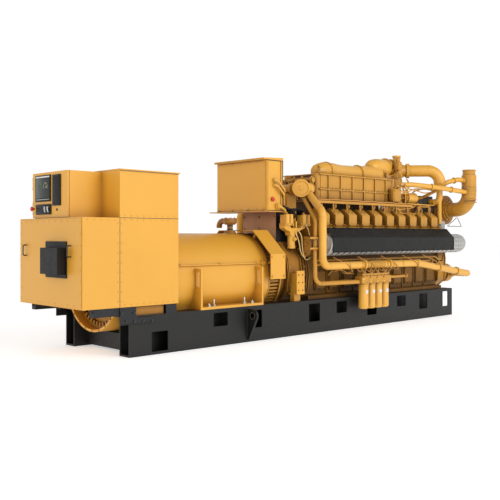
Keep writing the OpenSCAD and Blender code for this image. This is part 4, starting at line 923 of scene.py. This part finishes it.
class GENSET_OT_alternator(bpy.types.Operator):
    """Bolt up the alternator's frame, guard and flywheel housing"""

    bl_idname = "genset.alternator"
    bl_label = "Alternator"

    def execute(self, context):
        guard, ring_x = BOX["drive_end_cover"], BOX["drive_end_screen"][1][0] + 24
        edges = [place for x in (guard[0][0] + 24, guard[1][0] - 24) for place in
                 row((x, RAIL_Y, SHAFT_Z + 10), (x, RAIL_Y, SHAFT_Z + 250), 2, OUT)]
        bolts("guard_bolts", ring_of((ring_x, 0, SHAFT_Z), AFT, 486, 28) + both(edges), 24, "pipe_enamel")
        bolts("frame_bolts", both(
            row((BOX_X1 + 120, 532, SHAFT_Z + 180), (GEN_X1 - 200, 532, SHAFT_Z + 180), 3, UP)
            + [((GEN_X1 - 86, 534, SHAFT_Z + 172), OUT)]), 24, "yellow_enamel")

        # Open end: ring screws round the air inlet, and the bearing bracket on its eight spokes
        end = (GEN_X0, 0, SHAFT_Z)
        bolts("inlet_bolts", ring_of((0, 0, 0), FORE, 525, 24), 16, at=end)
        spokes = [(prism, [(math.cos(a + d) * r, math.sin(a + d) * r)
                           for r, d in ((140, -0.13), (436, -0.035), (436, 0.035), (140, 0.13))], 0, 118, 150)
                  for a in (2 * math.pi * (k + 0.5) / 8 for k in range(8))]
        shaped("bearing_bracket", "cast_enamel", [
            (turned, (151, 0, 0), FORE,
             [(0, 250), (14, 250), (30, 225), (48, 150), (90, 140), (90, 60), (84, 0)], 40)] + spokes, end)

        # Flywheel housing's bolts and gear covers
        cover_x, cover_z = BLOCK_X0 - 96, SHAFT_Z + 370
        heads = ring_pair((cover_x - 16, 520, cover_z), FORE, 112, 10)
        heads += ring_pair((cover_x - 32, 520, cover_z), FORE, 82, 4, 0.4)
        heads += both([((x, 512, SHAFT_Z + z), OUT) for z in (-230, -120, 0, 110)
                       for x in (-560, BLOCK_X0 - 80)])
        for x in (-560, -480, -300, -230):
            heads += row((x, -280, SHAFT_Z + 430), (x, 280, SHAFT_Z + 430), 5, UP)
        bolts("flywheel_housing_bolts", heads, 24)
        bolts("mount_bolts", both([((x, RAIL_Y - 14, RAIL_TOP + z), OUT)
                                   for x in (-523, -449) for z in (141, 239, 337)]), 15, "dark_steel")

        # Breather: plate bolts and hose clamps
        neck = (GEN_X1 - 164, 0, SHAFT_Z + 538)
        bolts("breather_bolts", ring_of((0, 0, 192), UP, 64, 6), 16, "amber_primer", neck)
        bands("breather_clamps", [((0, 0, 52), UP), ((0, 0, 96), UP)], 37.5, 12, 4, "dark_steel", at=neck)
        return {"FINISHED"}


class GENSET_OT_engine(bpy.types.Operator):
    """Bolt the crankcase, heads and rocker covers, and wire each cylinder"""

    bl_idname = "genset.engine"
    bl_label = "Engine"

    def execute(self, context):
        fittings = context.scene.genset_fittings
        width = fittings.bolt_width / MM
        cover_spots = [(dx, z) for dx in (-98, 0, 98) for z in (-205, 35)] + [
            (dx, z) for dx in (-98, 98) for z in (-125, -45)]
        sides, covers, heads = [], [], []
        for x in CYLINDER_XS:
            sides += [((x + dx, 416, SHAFT_Z + z), OUT) for dx, z in cover_spots]
            covers += [(on_bank(x + dx, across, 826), bank_axis(0, 1))
                       for dx in (-88, 88) for across in (-132, -40, 50, 132)]
            covers += [(on_bank(x + dx, 10, 952), bank_axis(0.11, 1)) for dx in (-45, 45)]
            heads += [(on_bank(x + dx, -165, up), bank_axis(-1, 0)) for dx in (-110, 110)
                      for up in (610, 700, 780)]
        sides += row((BLOCK_X0 + 60, 480, RAIL_TOP + 43), (BLOCK_X1 - 60, 480, RAIL_TOP + 43), 22, UP)
        bolts("crankcase_cover_bolts", both(sides), width * 0.7, "oily_cast_enamel")
        bolts("rocker_cover_bolts", both(covers), width * 0.8)
        bolts("head_bolts", both(heads), width)

        # Ignition coils on the rocker covers' crowns and their leads to the ducts
        coil_axis = bank_axis(0.2, 1)
        shaped("ignition_coils", "cast_enamel", both([
            (turned, on_bank(x - 30, 66, 955), coil_axis,
             [(-8, 24), (14, 24), (18, 17), (40, 15), (40, 0)], 14)
            for x in CYLINDER_XS]))
        leads = []
        for x in CYLINDER_XS:
            start = Vector(on_bank(x - 30, 66, 955)) + Vector(coil_axis).normalized() * 36
            end = Vector((x - 30, 410, COOLER_Z0 - 24))
            middle = (start + end) / 2 + Vector((14, 0, 24))
            leads.append(drawn([start, start + Vector((0, -6, 30)), middle, end], 5))
        hoses("ignition_leads", both(leads), fittings.cable_radius / MM, "amber_cable")

        # Gas branches from the cooler's foot down to each head
        hoses("inlet_branches", both([
            [(x + 70, 352, COOLER_Z0 + 20), (x + 70, 372, COOLER_Z0 - 60), on_bank(x + 70, 150, 812)]
            for x in CYLINDER_XS]), 30, "cast_enamel", 40, 12)

        # Wiring rail under the shields, with clips
        z = SHAFT_Z + 165
        hoses("side_rails", both([
            [(BLOCK_X0 + 40, 560, z), (BLOCK_X0 + 120, 560, z + 18), (BLOCK_X1 - 260, 560, z + 18),
             (BLOCK_X1 - 120, 545, z - 40)],
            [(BLOCK_X0 + 60, 535, z - 40), (BLOCK_X1 - 300, 535, z - 40), (BLOCK_X1 - 200, 450, z - 120)]]),
            15, "cast_enamel", 40, 10)
        hoses("side_clips", both([[(x + 146, 470, z - 50), (x + 146, 565, z - 50), (x + 146, 565, z + 40)]
                                  for x in CYLINDER_XS]), 9, "oily_cast_enamel", 12, 6)
        return {"FINISHED"}


class GENSET_OT_exhaust(bpy.types.Operator):
    """Wind the manifolds with heat tape and cap them, and bolt on the shields"""

    bl_idname = "genset.exhaust"
    bl_label = "Exhaust"

    def execute(self, context):
        pitch = context.scene.genset_fittings.tape_pitch
        x0, x1 = BOX["manifold_shields"][0][0], BOX["manifold_shields"][1][0]
        long, tape_lift = x1 - x0, 1.6
        for side, word in zip(SIDES, ("near", "far")):
            grown("manifold_tape_" + word, "Tape Wrap", "foil_tape", Turns=(long + 10) * MM / pitch,
                  Radius=(LOG_R + tape_lift) * MM, Length=(long + 10) * MM, Tape_Width=pitch * 0.74,
                  Tape_Thickness=0.004, Start=((x0 - 2) * MM, side * LOG_Y * MM, LOG_Z * MM))
        log = (x0, 0, LOG_Z)
        shaped("manifold_cloth", "lagging_cloth", both([
            (turned, (0, LOG_Y, 0), AFT,
             [(0, LOG_R), (2, LOG_R + 1), (long - 2, LOG_R + 1), (long, LOG_R)], 56)]),
            log)
        shaped("manifold_caps", "foil_tape", both([
            (turned, (8, LOG_Y, 0), FORE,
             [(-12, 148), (2, 148), (10, 132), (16, 96), (20, 50), (21, 0)], 40)]), log)
        bands("lagging_bands", both([((x1 + dx, LOG_Y, LOG_Z), AFT) for dx in (46, 118, 190, 262)]),
              LOG_R + 1, 12, 4, "zinc_plate", slot="lagging")
        strips = []
        for a in (math.radians(-78 + 26 * k) for k in range(7)):
            y, z = LOG_Y + math.cos(a) * (LOG_R + 2), math.sin(a) * (LOG_R + 2)
            strips.append((sweep, [(long + 20, y, z), (long + 270, y, z)], 4, 6))
        shaped("lagging_strips", "foil_tape", both(strips), log)

        skin_y = LOG_Y + LOG_R + 8
        bolts("shield_screws", both(
            row((x0 + 30, skin_y + 4, LOG_Z - 92), (x1 - 30, skin_y + 4, LOG_Z - 92), 12, OUT)
            + row((x0 + 40, skin_y - 112, LOG_Z + 216), (x1 - 40, skin_y - 112, LOG_Z + 216), 20,
                  (0, 0.73, 0.69))),
            16, "dark_steel")
        shaped("shield_hems", "satin_black", both([
            (slab, (0, skin_y - 1, -105), (long, skin_y + 5, -98), 2)] + [
            (slab, (x, skin_y + 3, -104), (x + 6, skin_y + 7, 90), 1.5) for x in (0, long - 6)]), log)
        bolts("port_bolts", both([(on_bank(x + dx, -165, 630), bank_axis(-1, 0))
                                  for x in CYLINDER_XS for dx in (-62, 62)]), 26, "bare_iron")
        return {"FINISHED"}


class GENSET_OT_charge_air(bpy.types.Operator):
    """Bolt up the aftercooler, the duct, the throttle, the mixer and the air inlets"""

    bl_idname = "genset.charge_air"
    bl_label = "Charge air"

    def execute(self, context):
        heads = []
        for z in (16, 175.6, 364):
            heads += row((COOLER_X0 + 60, 342, COOLER_Z0 + z), (COOLER_X1 - 30, 342, COOLER_Z0 + z), 22, UP)
        heads += row((COOLER_X1, 300, COOLER_Z0 + 40), (COOLER_X1, 300, COOLER_Z1 - 40), 5, AFT)
        bolts("aftercooler_bolts", both(heads)
              + row((COOLER_X1, -220, COOLER_Z1 - 30), (COOLER_X1, 220, COOLER_Z1 - 30), 5, AFT), 20)

        throttle = (COOLER_X1 + 275, 0, COOLER_Z1 + 230)
        rings = [place for x in (COOLER_X0 + 509, COOLER_X1 - 431)
                 for place in ring_of((x, 0, COOLER_Z1 + 67), FORE, 141, 18) if place[0][2] > COOLER_Z1 + 20]
        rings += ring_of((throttle[0] + 24, 0, throttle[2]), AFT, 124, 12)
        rings += ring_of((throttle[0] + 150, 0, throttle[2]), FORE, 121, 12)
        bolts("duct_bolts", rings, 20, "pipe_enamel")
        shaped("throttle_linkage", "cast_enamel", both([
            (turned, (87, 104, 0), OUT, [(0, 34), (30, 34), (36, 26), (60, 24), (60, 0)], 18)]) + [
            (slab, (40, -250, -60), (134, -160, 70), 8),
            (turned, (87, -205, 70), UP, [(0, 36), (60, 36), (68, 26), (68, 0)], 18),
            (slab, (78, -176, -130), (96, -166, 16), 3),
            (sweep, [(87, -184, -118), (-60, -186, -150), (-190, -190, -152)], 8, 8),
            (turned, (-190, -190, -190), UP, [(0, 30), (70, 30), (78, 22), (78, 0)], 16)], throttle)

        # Pressure tubes and wiring over the duct
        mixer = (COOLER_X1 + 609, 0, COOLER_Z1 + 188)
        hoses("duct_tubes", [
            drawn(moved((COOLER_X0, 0, COOLER_Z1), [
                (120, -150, 0), (150, -160, 60), (260, -120, 90), (300, -60, 150)]), 5),
            drawn(moved(throttle, [(87, -200, -60), (70, -250, -160), (30, -300, -290)])
                  + [(COOLER_X1 + 150, -330, COOLER_Z0 + 250)]),
            drawn(moved(mixer, [(-60, -110, -60), (-110, -170, -150), (-180, -250, -308)])
                  + [(mixer[0] - 230, -360, COOLER_Z0 + 40)])], 10, "cast_enamel")

        # Air inlets: clamp screws and compressor bolts
        turbo = (INLET_X, 0, TURBO_Z)
        bolts("compressor_bolts", ring_pair((0, 361, 0), OUT, 166, 12) + ring_pair((0, 200, 0), NEAR, 222, 16)
              + ring_pair((0, 110, 0), OUT, 170, 12), 22, at=turbo)
        bolts("clamp_screws", both([((-121, 730, z), FORE) for z in (353, 303, 153, 113)]),
              18, "zinc_plate", turbo)
        return {"FINISHED"}


class GENSET_OT_services(bpy.types.Operator):
    """Fit the oil filters, bolt up the coolant pipes and the thermostats, and hang the wiring"""

    bl_idname = "genset.services"
    bl_label = "Services"

    def execute(self, context):
        filter_xs = [BLOCK_X0 + 812 + 152 * i for i in range(4)]
        foot, head_top = (0, -785, SHAFT_Z - 153), 165
        flutes = [2 * math.pi * k / 16 for k in range(16)]
        can = [(0, 64), (2, 69), (16, 69), (20, 65), (24, 68), (300, 68), (306, 67.5), (318, 62),
               (326, 50), (329, 34), (330, 20), (330, 0)]
        canisters = shaped("filter_canisters", "pipe_enamel", [
            form for x in filter_xs for form in [(turned, (x, 0, -1), DOWN, can, 40)] + [
                (sweep, [(x + 67 * math.cos(a), 67 * math.sin(a), z) for z in (-276, -304)], 2.6, 6)
                for a in flutes]], foot, smooth=50)
        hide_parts("oil_filters")

        # Blank pale plates, curved to the canisters: label patches that also serve as painted highlights
        turns = [math.radians(-112 + 8 * k) for k in range(6)]
        shaped("filter_plates", "pale_abs", [
            (prism, [(x + r * math.cos(a), r * math.sin(a)) for r, run in ((68.4, turns), (69.6, turns[::-1]))
                     for a in run], 2, -118, -72) for x in filter_xs], foot)
        heads = row((filter_xs[0] - 60, -50, head_top - 52), (filter_xs[3] + 50, -50, head_top - 52), 8, UP)
        for x in filter_xs:
            heads += ring_of((x, 0, head_top), UP, 22, 4) + [((x - 76, -60, z), NEAR) for z in (60, 96)]
        bolts("filter_head_bolts", heads, 20, at=foot)
        shaped("filter_head_caps", "pipe_enamel", [
            (turned, (x, 0, head_top), UP, [(0, 16), (16, 16), (20, 12), (20, 0)], 6) for x in filter_xs] + [
            (turned, (x + 76, -60, 58), NEAR, [(0, 26), (5, 26), (7, 18), (12, 16), (12, 0)], 16)
            for x in filter_xs[:3]] + [
            (turned, (filter_xs[0] - 80, -60, 70), NEAR,
             [(0, 30), (5, 30), (8, 22), (12, 20), (12, 0)], 16)], foot)

        # Flange bolts along the coolant pipes, whose rear legs run from a knee to the pumps
        last = CYLINDER_XS[-1]
        knee = Vector((last - 877, PIPE_Y, SHAFT_Z + 106))
        rear = Vector((GEAR_X1 + 190, PIPE_Y, SHAFT_Z - 100))
        axis = (rear - knee).normalized()
        rings = []
        for way in SIDES:
            for x in (last - 2160, last - 1590):
                rings += ring_pair((x + 13 * way, PIPE_Y, SHAFT_Z + 113), (way, 0, 0), 58, 8)
            for share in (0.38, 0.72):
                rings += ring_pair(knee.lerp(rear, share) + axis * 11 * way, axis * way, 56, 8)
        bolts("pipe_flange_bolts", rings, 15, "pipe_enamel")
        bolts("gear_case_bolts",
              ring_pair((110, 290, -100), FORE, 138, 10) + ring_pair((250, 290, -100), AFT, 122, 10)
              + ring_pair((16, 270, 290), AFT, 74, 8) + ring_of((100, 0, 0), AFT, 90, 10)
              + both([((0, 412, z), AFT) for z in (-180, -60, 60, 180)] + [((0, 360, 320), AFT)]),
              24, at=(GEAR_X1, 0, SHAFT_Z))

        # Outlet manifold: tee rings and its blanking covers
        tee = (BLOCK_X0 + 90, 0, COOLER_Z0 + 155)
        slant = (-0.72, 0.69, 0)
        bolts("outlet_bolts", ring_pair((0, 300, 0), FORE, 93, 10) + ring_pair((22, 300, 0), AFT, 96, 10)
              + ring_pair((5, 162, 0), OUT, 76, 8), 17, "pipe_enamel", tee)
        shaped("outlet_covers", "cast_enamel", both([
            (turned, (-14, 300, 0), FORE,
             [(-6, 92), (16, 100), (24, 99), (26, 92), (26, 82), (18, 76), (18, 30), (22, 24),
              (22, 0)], 40)]), tee)
        shaped("outlet_access_covers", "pipe_enamel", both([
            (turned, (0, 300, 0), slant,
             [(30, 88), (92, 88), (94, 118), (116, 120), (120, 116), (120, 98), (110, 92), (110, 30),
              (116, 24), (116, 0)], 44)]), tee)
        bolts("access_cover_bolts",
              ring_pair((94 * slant[0], 300 + 94 * slant[1], 0), (0.72, -0.69, 0), 106, 12),
              16, "pipe_enamel", tee)

        # Black leads from the junction box down to the thermostats
        leads = []
        for k in range(6):
            y = -452 + 22 * k
            leads += [drawn(run, 5) for run in (
                [(-626, y, 1650 - 8 * k), (-560, y - 4, 1622 - 6 * k), (-480, y + 6, 1606 + 9 * (k % 3)),
                 (-400, y + 10, 1580 - 8 * (k % 2)), (-340, y + 24, 1500 - 10 * k)],
                [(-440, y, 1590), (-330, y + 12, 1612 - 12 * (k % 3)), (-236, y + 4, 1588),
                 (-180, y + 30, 1520)])]
        hoses("thermostat_leads", leads, 9, "black_rubber", sides=6)

        # Thermostats: cover bolts, a drain cock and the cable that loops below them
        thermostat = (-392, 0, SHAFT_Z + 345)
        places = [((x + dx, y, z), NEAR) for x in (-217, 102) for dx in (16, 112)
                  for y, z in ((-500, 334), (-500, 420), (-508, 308))]
        bolts("thermostat_bolts", places + ring_of((-66, -448, 26), UP, 46, 6), 17, "pipe_enamel", thermostat)
        shaped("thermostat_caps", "pipe_enamel", [
            (turned, (x, -492, 316), UP, [(0, 26), (4, 31), (118, 31), (124, 24), (124, 0)])
            for x in (-187, -119, 132, 200)] + [
            (turned, (-66, -500, 120), NEAR, [(-4, 26), (16, 26), (20, 18), (34, 16), (34, 0)], 16),
            (slab, (-20, -486, 250), (6, -462, 350), 4)], thermostat)
        hoses("engine_cables", [drawn(run) for run in (
            [(-400, -520, 1330), (-362, -540, 1250), (-352, -545, 1120), (-330, -550, 1000),
             (-290, -552, 950), (-230, -552, 960), (-180, -545, 1010), (-150, -530, 1080)],
            [(-430, -500, 1300), (-400, -530, 1180), (-380, -540, 1060), (-330, -548, 985),
             (-280, -548, 1000), (-240, -540, 1060)],
            [(-300, -480, 1420), (-240, -520, 1380), (-190, -530, 1250), (-180, -530, 1120),
             (-160, -520, 1040)])],
            7, "cream_sheath")

        # Wires beneath the near coolant pipe and over the filter head
        wires = [drawn([(x, -770, 62), (x + 30, -800, 20), (x + 70, -790, 46), (x + 110, -770, 70)], 5)
                 for x in (filter_xs[0] - 120 + 96 * k for k in range(7))]
        wires += [drawn(run) for run in (
            [(60, -740, 40), (180, -752, 60), (330, -740, 10), (420, -760, 40)],
            [(-20, -700, -10), (60, -720, 60), (200, -730, 52), (300, -700, 8), (520, -700, -6)],
            [(1150, -780, -30), (1240, -770, 30), (1350, -740, 40), (1500, -700, 20)])]
        hoses("filter_wires", wires, 5, "amber_cable", sides=6, at=(0, 0, SHAFT_Z))

        # Wiring along the ducts, tied down at each wave
        lines = []
        for side in SIDES:
            for k in range(3):
                y, z = side * (402 + 14 * k), 14 + 3 * k
                waves = [(280 + 200 * i, y + 5 * (-1) ** (i + k), z + 4 * (-1) ** i) for i in range(1, 10)]
                lines.append(drawn([(280, y, z), *waves, (COOLER_X1 + 400 - BLOCK_X0, y, z)], 3))
        hoses("duct_wiring", lines, 8, "amber_cable", at=(BLOCK_X0, 0, COOLER_Z0))
        return {"FINISHED"}


class GENSET_OT_gas(bpy.types.Operator):
    """Fit the gas valve, its driver and tubes, and the pipework on the aftercooler's end"""

    bl_idname = "genset.gas"
    bl_label = "Gas"

    def execute(self, context):
        bolts("gas_valve_bolts", [((56 + dx, -16, dz - 30), NEAR) for dx in (0, 118) for dz in (0, 104)]
              + ring_of((664, 70, 0), AFT, 44, 6), 16, at=VALVE)
        hoses("gas_tubes", [
            drawn([(300, 40, 30), (330, -20, 120), (420, -30, 190), (470, 60, 300)]),
            [(500, 60, -50), (500, 60, -130), (760, 20, -130), (900, -60, -130)],
            drawn([(560, 40, 50), (600, 0, 110), (760, -60, 150), (980, -120, 140)])],
            12, "pipe_enamel", 50, at=VALVE)
        shaped("valve_driver", "cast_enamel", [
            (slab, (-86, -92, -78), (110, 1, 116), 9), (slab, (-74, -98, -66), (98, -90, 104), 5)] + [
            (turned, (dx, -46, -77), DOWN, [(0, 17), (16, 17), (20, 12), (44, 11), (44, 0)], 14)
            for dx in (-40, 12, 64)], VALVE)
        bolts("valve_driver_screws", [((dx, -98, dz), NEAR) for dx in (-64, 88) for dz in (-56, 94)],
              14, at=VALVE)

        # Coolant and oil pipework on the aftercooler's end, with its valve bodies
        end = (COOLER_X0 - 40, 0, COOLER_Z1)
        headers = ((-62, -320, -96), (-50, -300, -210))
        hoses("end_headers", [[(x, y, z), (x, 330, z)] for x, y, z in headers], 33, "cast_enamel", 5, 16, end)
        hoses("end_drops", [[(-62, y, -96), (-96, y, -150), (-96, y, -360)] for y in (-196, -40, 110, 260)],
              19, "pipe_enamel", 50, 12, end)
        bands("end_header_flanges",
              [((x, y, z), OUT) for x, _, z in headers for y in (-290, -130, 40, 180, 310)],
              40, 22, 18, "cast_enamel", at=end)
        shaped("end_valves", "cast_enamel", [form for y in (-118, 34, 186) for form in (
            (slab, (-112, y - 30, -186), (-1, y + 30, -120), 7),
            (turned, (-70, y, -122), UP, [(0, 24), (44, 24), (50, 17), (86, 16), (90, 10), (90, 0)], 16),
            (turned, (-111, y, -154), FORE, [(0, 24), (10, 24), (14, 17), (26, 17), (26, 0)], 6))], end)
        hoses("end_cables", [
            drawn([(-90, 96 * k - 250, -110), (-124, 96 * k - 236, -180), (-100, 90 * k - 200, -262),
                   (-112, 92 * k - 180, -350)], 5) for k in range(6)],
            6, "black_rubber", sides=6, at=end)
        return {"FINISHED"}


class GENSET_OT_free_end(bpy.types.Operator):
    """Fit the exhaust collector, the coolant pipes' clamps, the control module, vents and wiring"""

    bl_idname = "genset.free_end"
    bl_label = "Free end"

    def execute(self, context):
        # Exhaust collector: flange bars, their bolts and stiffening ribs
        (x0, _, _), (x1, _, _) = BOX["exhaust_collector"]
        wall, middle, mouth_z = (x1, 0, SHAFT_Z), (x0 - x1) / 2, LOG_Z - SHAFT_Z
        shaped("collector_bars", "bare_iron", [
            (slab, (-3, -286, z), (9, 286, z + 20), 3) for z in (262, 506)] + [
            (slab, (-3, y - 6, 280), (7, y + 6, 508), 2) for y in (-240, -120, 0, 120, 240)] + both([
                (turned, (middle, 299, mouth_z), OUT,
                 [(-4, 165), (12, 165), (16, 160), (16, 150), (0, 150)], 44)]),
            wall)
        bolts("collector_bolts", ring_pair((middle, 311, mouth_z), OUT, 158, 14)
              + row((7, -264, 272), (7, 264, 272), 9, AFT) + row((7, -264, 516), (7, 264, 516), 9, AFT),
              18, "bare_iron", wall)

        # Flat bars that tie the two upright pipes together
        shaped("pipe_ties", "cast_enamel", both([
            (slab, (-226, 738, z - 13), (30, 752, z + 13), 3) for z in (346, 480)]), (BLOCK_X0, 0, SHAFT_Z))

        # Clamps and a corrugated sleeve along the long coolant pipes, with clipped wiring over them
        pipe = (CYLINDER_XS[-1], 0, SHAFT_Z + 113)
        clamp_xs = [-2490, -2230, -2206, -2108, -2082, -2050, -1676, -1648, -1540, -1516, -1290]
        clamp_xs += [22 * k - 2050 for k in range(16)]
        bands("pipe_clamps", both([((x, PIPE_Y, 0), AFT) for x in clamp_xs]),
              52.5, 11, 6, "pipe_enamel", at=pipe)
        hoses("pipe_looms", both([
            drawn([(x, 700, 113), (x + 60, 770, 65), (x + 150, 836, 15), (x + 230, 822, -47),
                   (x + 330, 760, -93)], 5)
            for x in (520 * k - 2700 for k in range(5))]), 6, "amber_cable", sides=6, at=pipe)

        shaped("control_module", "hood_grey", [(slab, (2690, -300, 1640), (3060, -205, 1900), 8)] + [
            (slab, (x, -312, 1656), (x + 14, -298, 1884), 3) for x in range(2712, 3017, 38)] + [
            (slab, (x, -250, 1290), (x + 30, -236, 1642), 3) for x in (2720, 3000)])
        shaped("gas_regulator", "pipe_enamel", [
            (turned, (398, 56, 0), AFT,
             [(0, 62), (6, 66), (20, 66), (22, 86), (38, 88), (42, 84), (236, 84), (240, 88),
              (256, 86), (258, 66), (286, 62), (290, 56), (290, 0)], 36),
            (turned, (470, 56, 80), UP,
             [(0, 30), (18, 30), (22, 22), (50, 20), (54, 14), (54, 0)], 18)], VALVE)
        bolts("gas_regulator_bolts", ring_of((420, 56, 0), FORE, 76, 10), 14, at=VALVE)
        hoses("free_end_wiring", [
            drawn([(1974, -350, 2020), (2120, -372, 2000), (2301, -384, 1984), (2470, -400, 1962),
                   (2626, -420, 1936), (2800, -440, 1950), (2850, -455, 1960)], 4),
            drawn([(2000, -400, 1962), (2112, -410, 1931), (2260, -400, 1950), (2407, -400, 1990),
                   (2580, -420, 1996), (2749, -450, 1987), (2858, -470, 1960)], 4),
            drawn(moved(VALVE, [(12, -46, -110), (60, -60, -190), (260, -50, -176), (480, -40, -150)])
                  + [(2640, -300, 1780)], 5),
            drawn(moved(VALVE, [(64, -46, -110), (120, -70, -236), (420, -70, -250), (700, -60, -240)])
                  + [(2700, -310, 1746)], 5),
            [(2151, -400, 2064), (2151, -400, 1752)],
            [(2151, -400, 1752), (2895, -430, 1746), (2895, -430, 1822)],
            moved(VALVE, [(104, -50, 60)]) + [(2151, -400, 1912), (2240, -380, 1912)]], 9, "pipe_enamel", 30)

        # Vent pipes from the riser to the inlet elbows, on flanged ends
        hoses("vent_pipes", both([
            [(2944, 520, 2050), (3020, 600, 2118), (3230, 660, 2166), (3440, 728, 2146)]]) + [
            [(2130, -320, 2046), (2300, -420, 2052), (2500, -540, 2032), (2774, -640, 2010),
             (3100, -690, 1985), (3336, -728, 1966)]], 38, "pipe_enamel", 90, 18)
        bands("vent_pipe_flanges", both([((3150, 637, 2148), (20, 6, 5)), ((3330, 692, 2157), (20, 7, -2))])
              + [((2600, -577, 2024), (2, -0.8, -0.15)), ((3000, -676, 1993), (3, -0.5, -0.24))],
              43, 20, 14, "pipe_enamel")

        # Wire brackets below the inlet elbows, and the bellows behind the riser
        hoses("elbow_brackets", both([
            [(3290, 600, 1552), (3010, 600, 1414), (3438, 600, 1411), (3316, 600, 1552)]]),
            6, "grey_conduit", 4)
        folds = [point for k in range(11) for point in ((17 * k, 42), (17 * k + 8, 54))]
        shaped("bellows", "foil_tape", both([
            (turned, (3040, 470, 1300), (0.2, -0.05, 1), [(-4, 40), *folds, (192, 40)], 28)]), smooth=25)
        return {"FINISHED"}


class GENSET_PT_panel(bpy.types.Panel):
    """Lists the pieces in the 3D view's sidebar"""

    bl_label = "Generator Set"
    bl_idname = "GENSET_PT_panel"
    bl_space_type = "VIEW_3D"
    bl_region_type = "UI"
    bl_category = "Generator Set"

    def draw(self, context):
        for name in SETTINGS:
            group = getattr(context.scene, name)
            box = self.layout.box()
            for key in group.__annotations__:
                box.prop(group, key)
        for kind in OPERATORS:
            self.layout.operator(kind.bl_idname)


OPERATORS = (GENSET_OT_stage, GENSET_OT_paint, GENSET_OT_panel, GENSET_OT_boxes, GENSET_OT_junction_box,
             GENSET_OT_skid, GENSET_OT_alternator, GENSET_OT_engine, GENSET_OT_exhaust, GENSET_OT_charge_air,
             GENSET_OT_services, GENSET_OT_gas, GENSET_OT_free_end)
SETTINGS = {"genset_finishes": GENSET_PG_finishes, "genset_fittings": GENSET_PG_fittings,
            "genset_stage": GENSET_PG_stage}


def register():
    for name, kind in SETTINGS.items():
        bpy.utils.register_class(kind)
        setattr(bpy.types.Scene, name, bpy.props.PointerProperty(type=kind))
    for kind in (*OPERATORS, GENSET_PT_panel):
        bpy.utils.register_class(kind)


def unregister():
    for kind in (GENSET_PT_panel, *reversed(OPERATORS)):
        bpy.utils.unregister_class(kind)
    for name, kind in reversed(SETTINGS.items()):
        delattr(bpy.types.Scene, name)
        bpy.utils.unregister_class(kind)


def main():
    register()
    for kind in OPERATORS:
        section, call = kind.bl_idname.split(".")
        getattr(getattr(bpy.ops, section), call)()


if __name__ == "__main__":
    main()
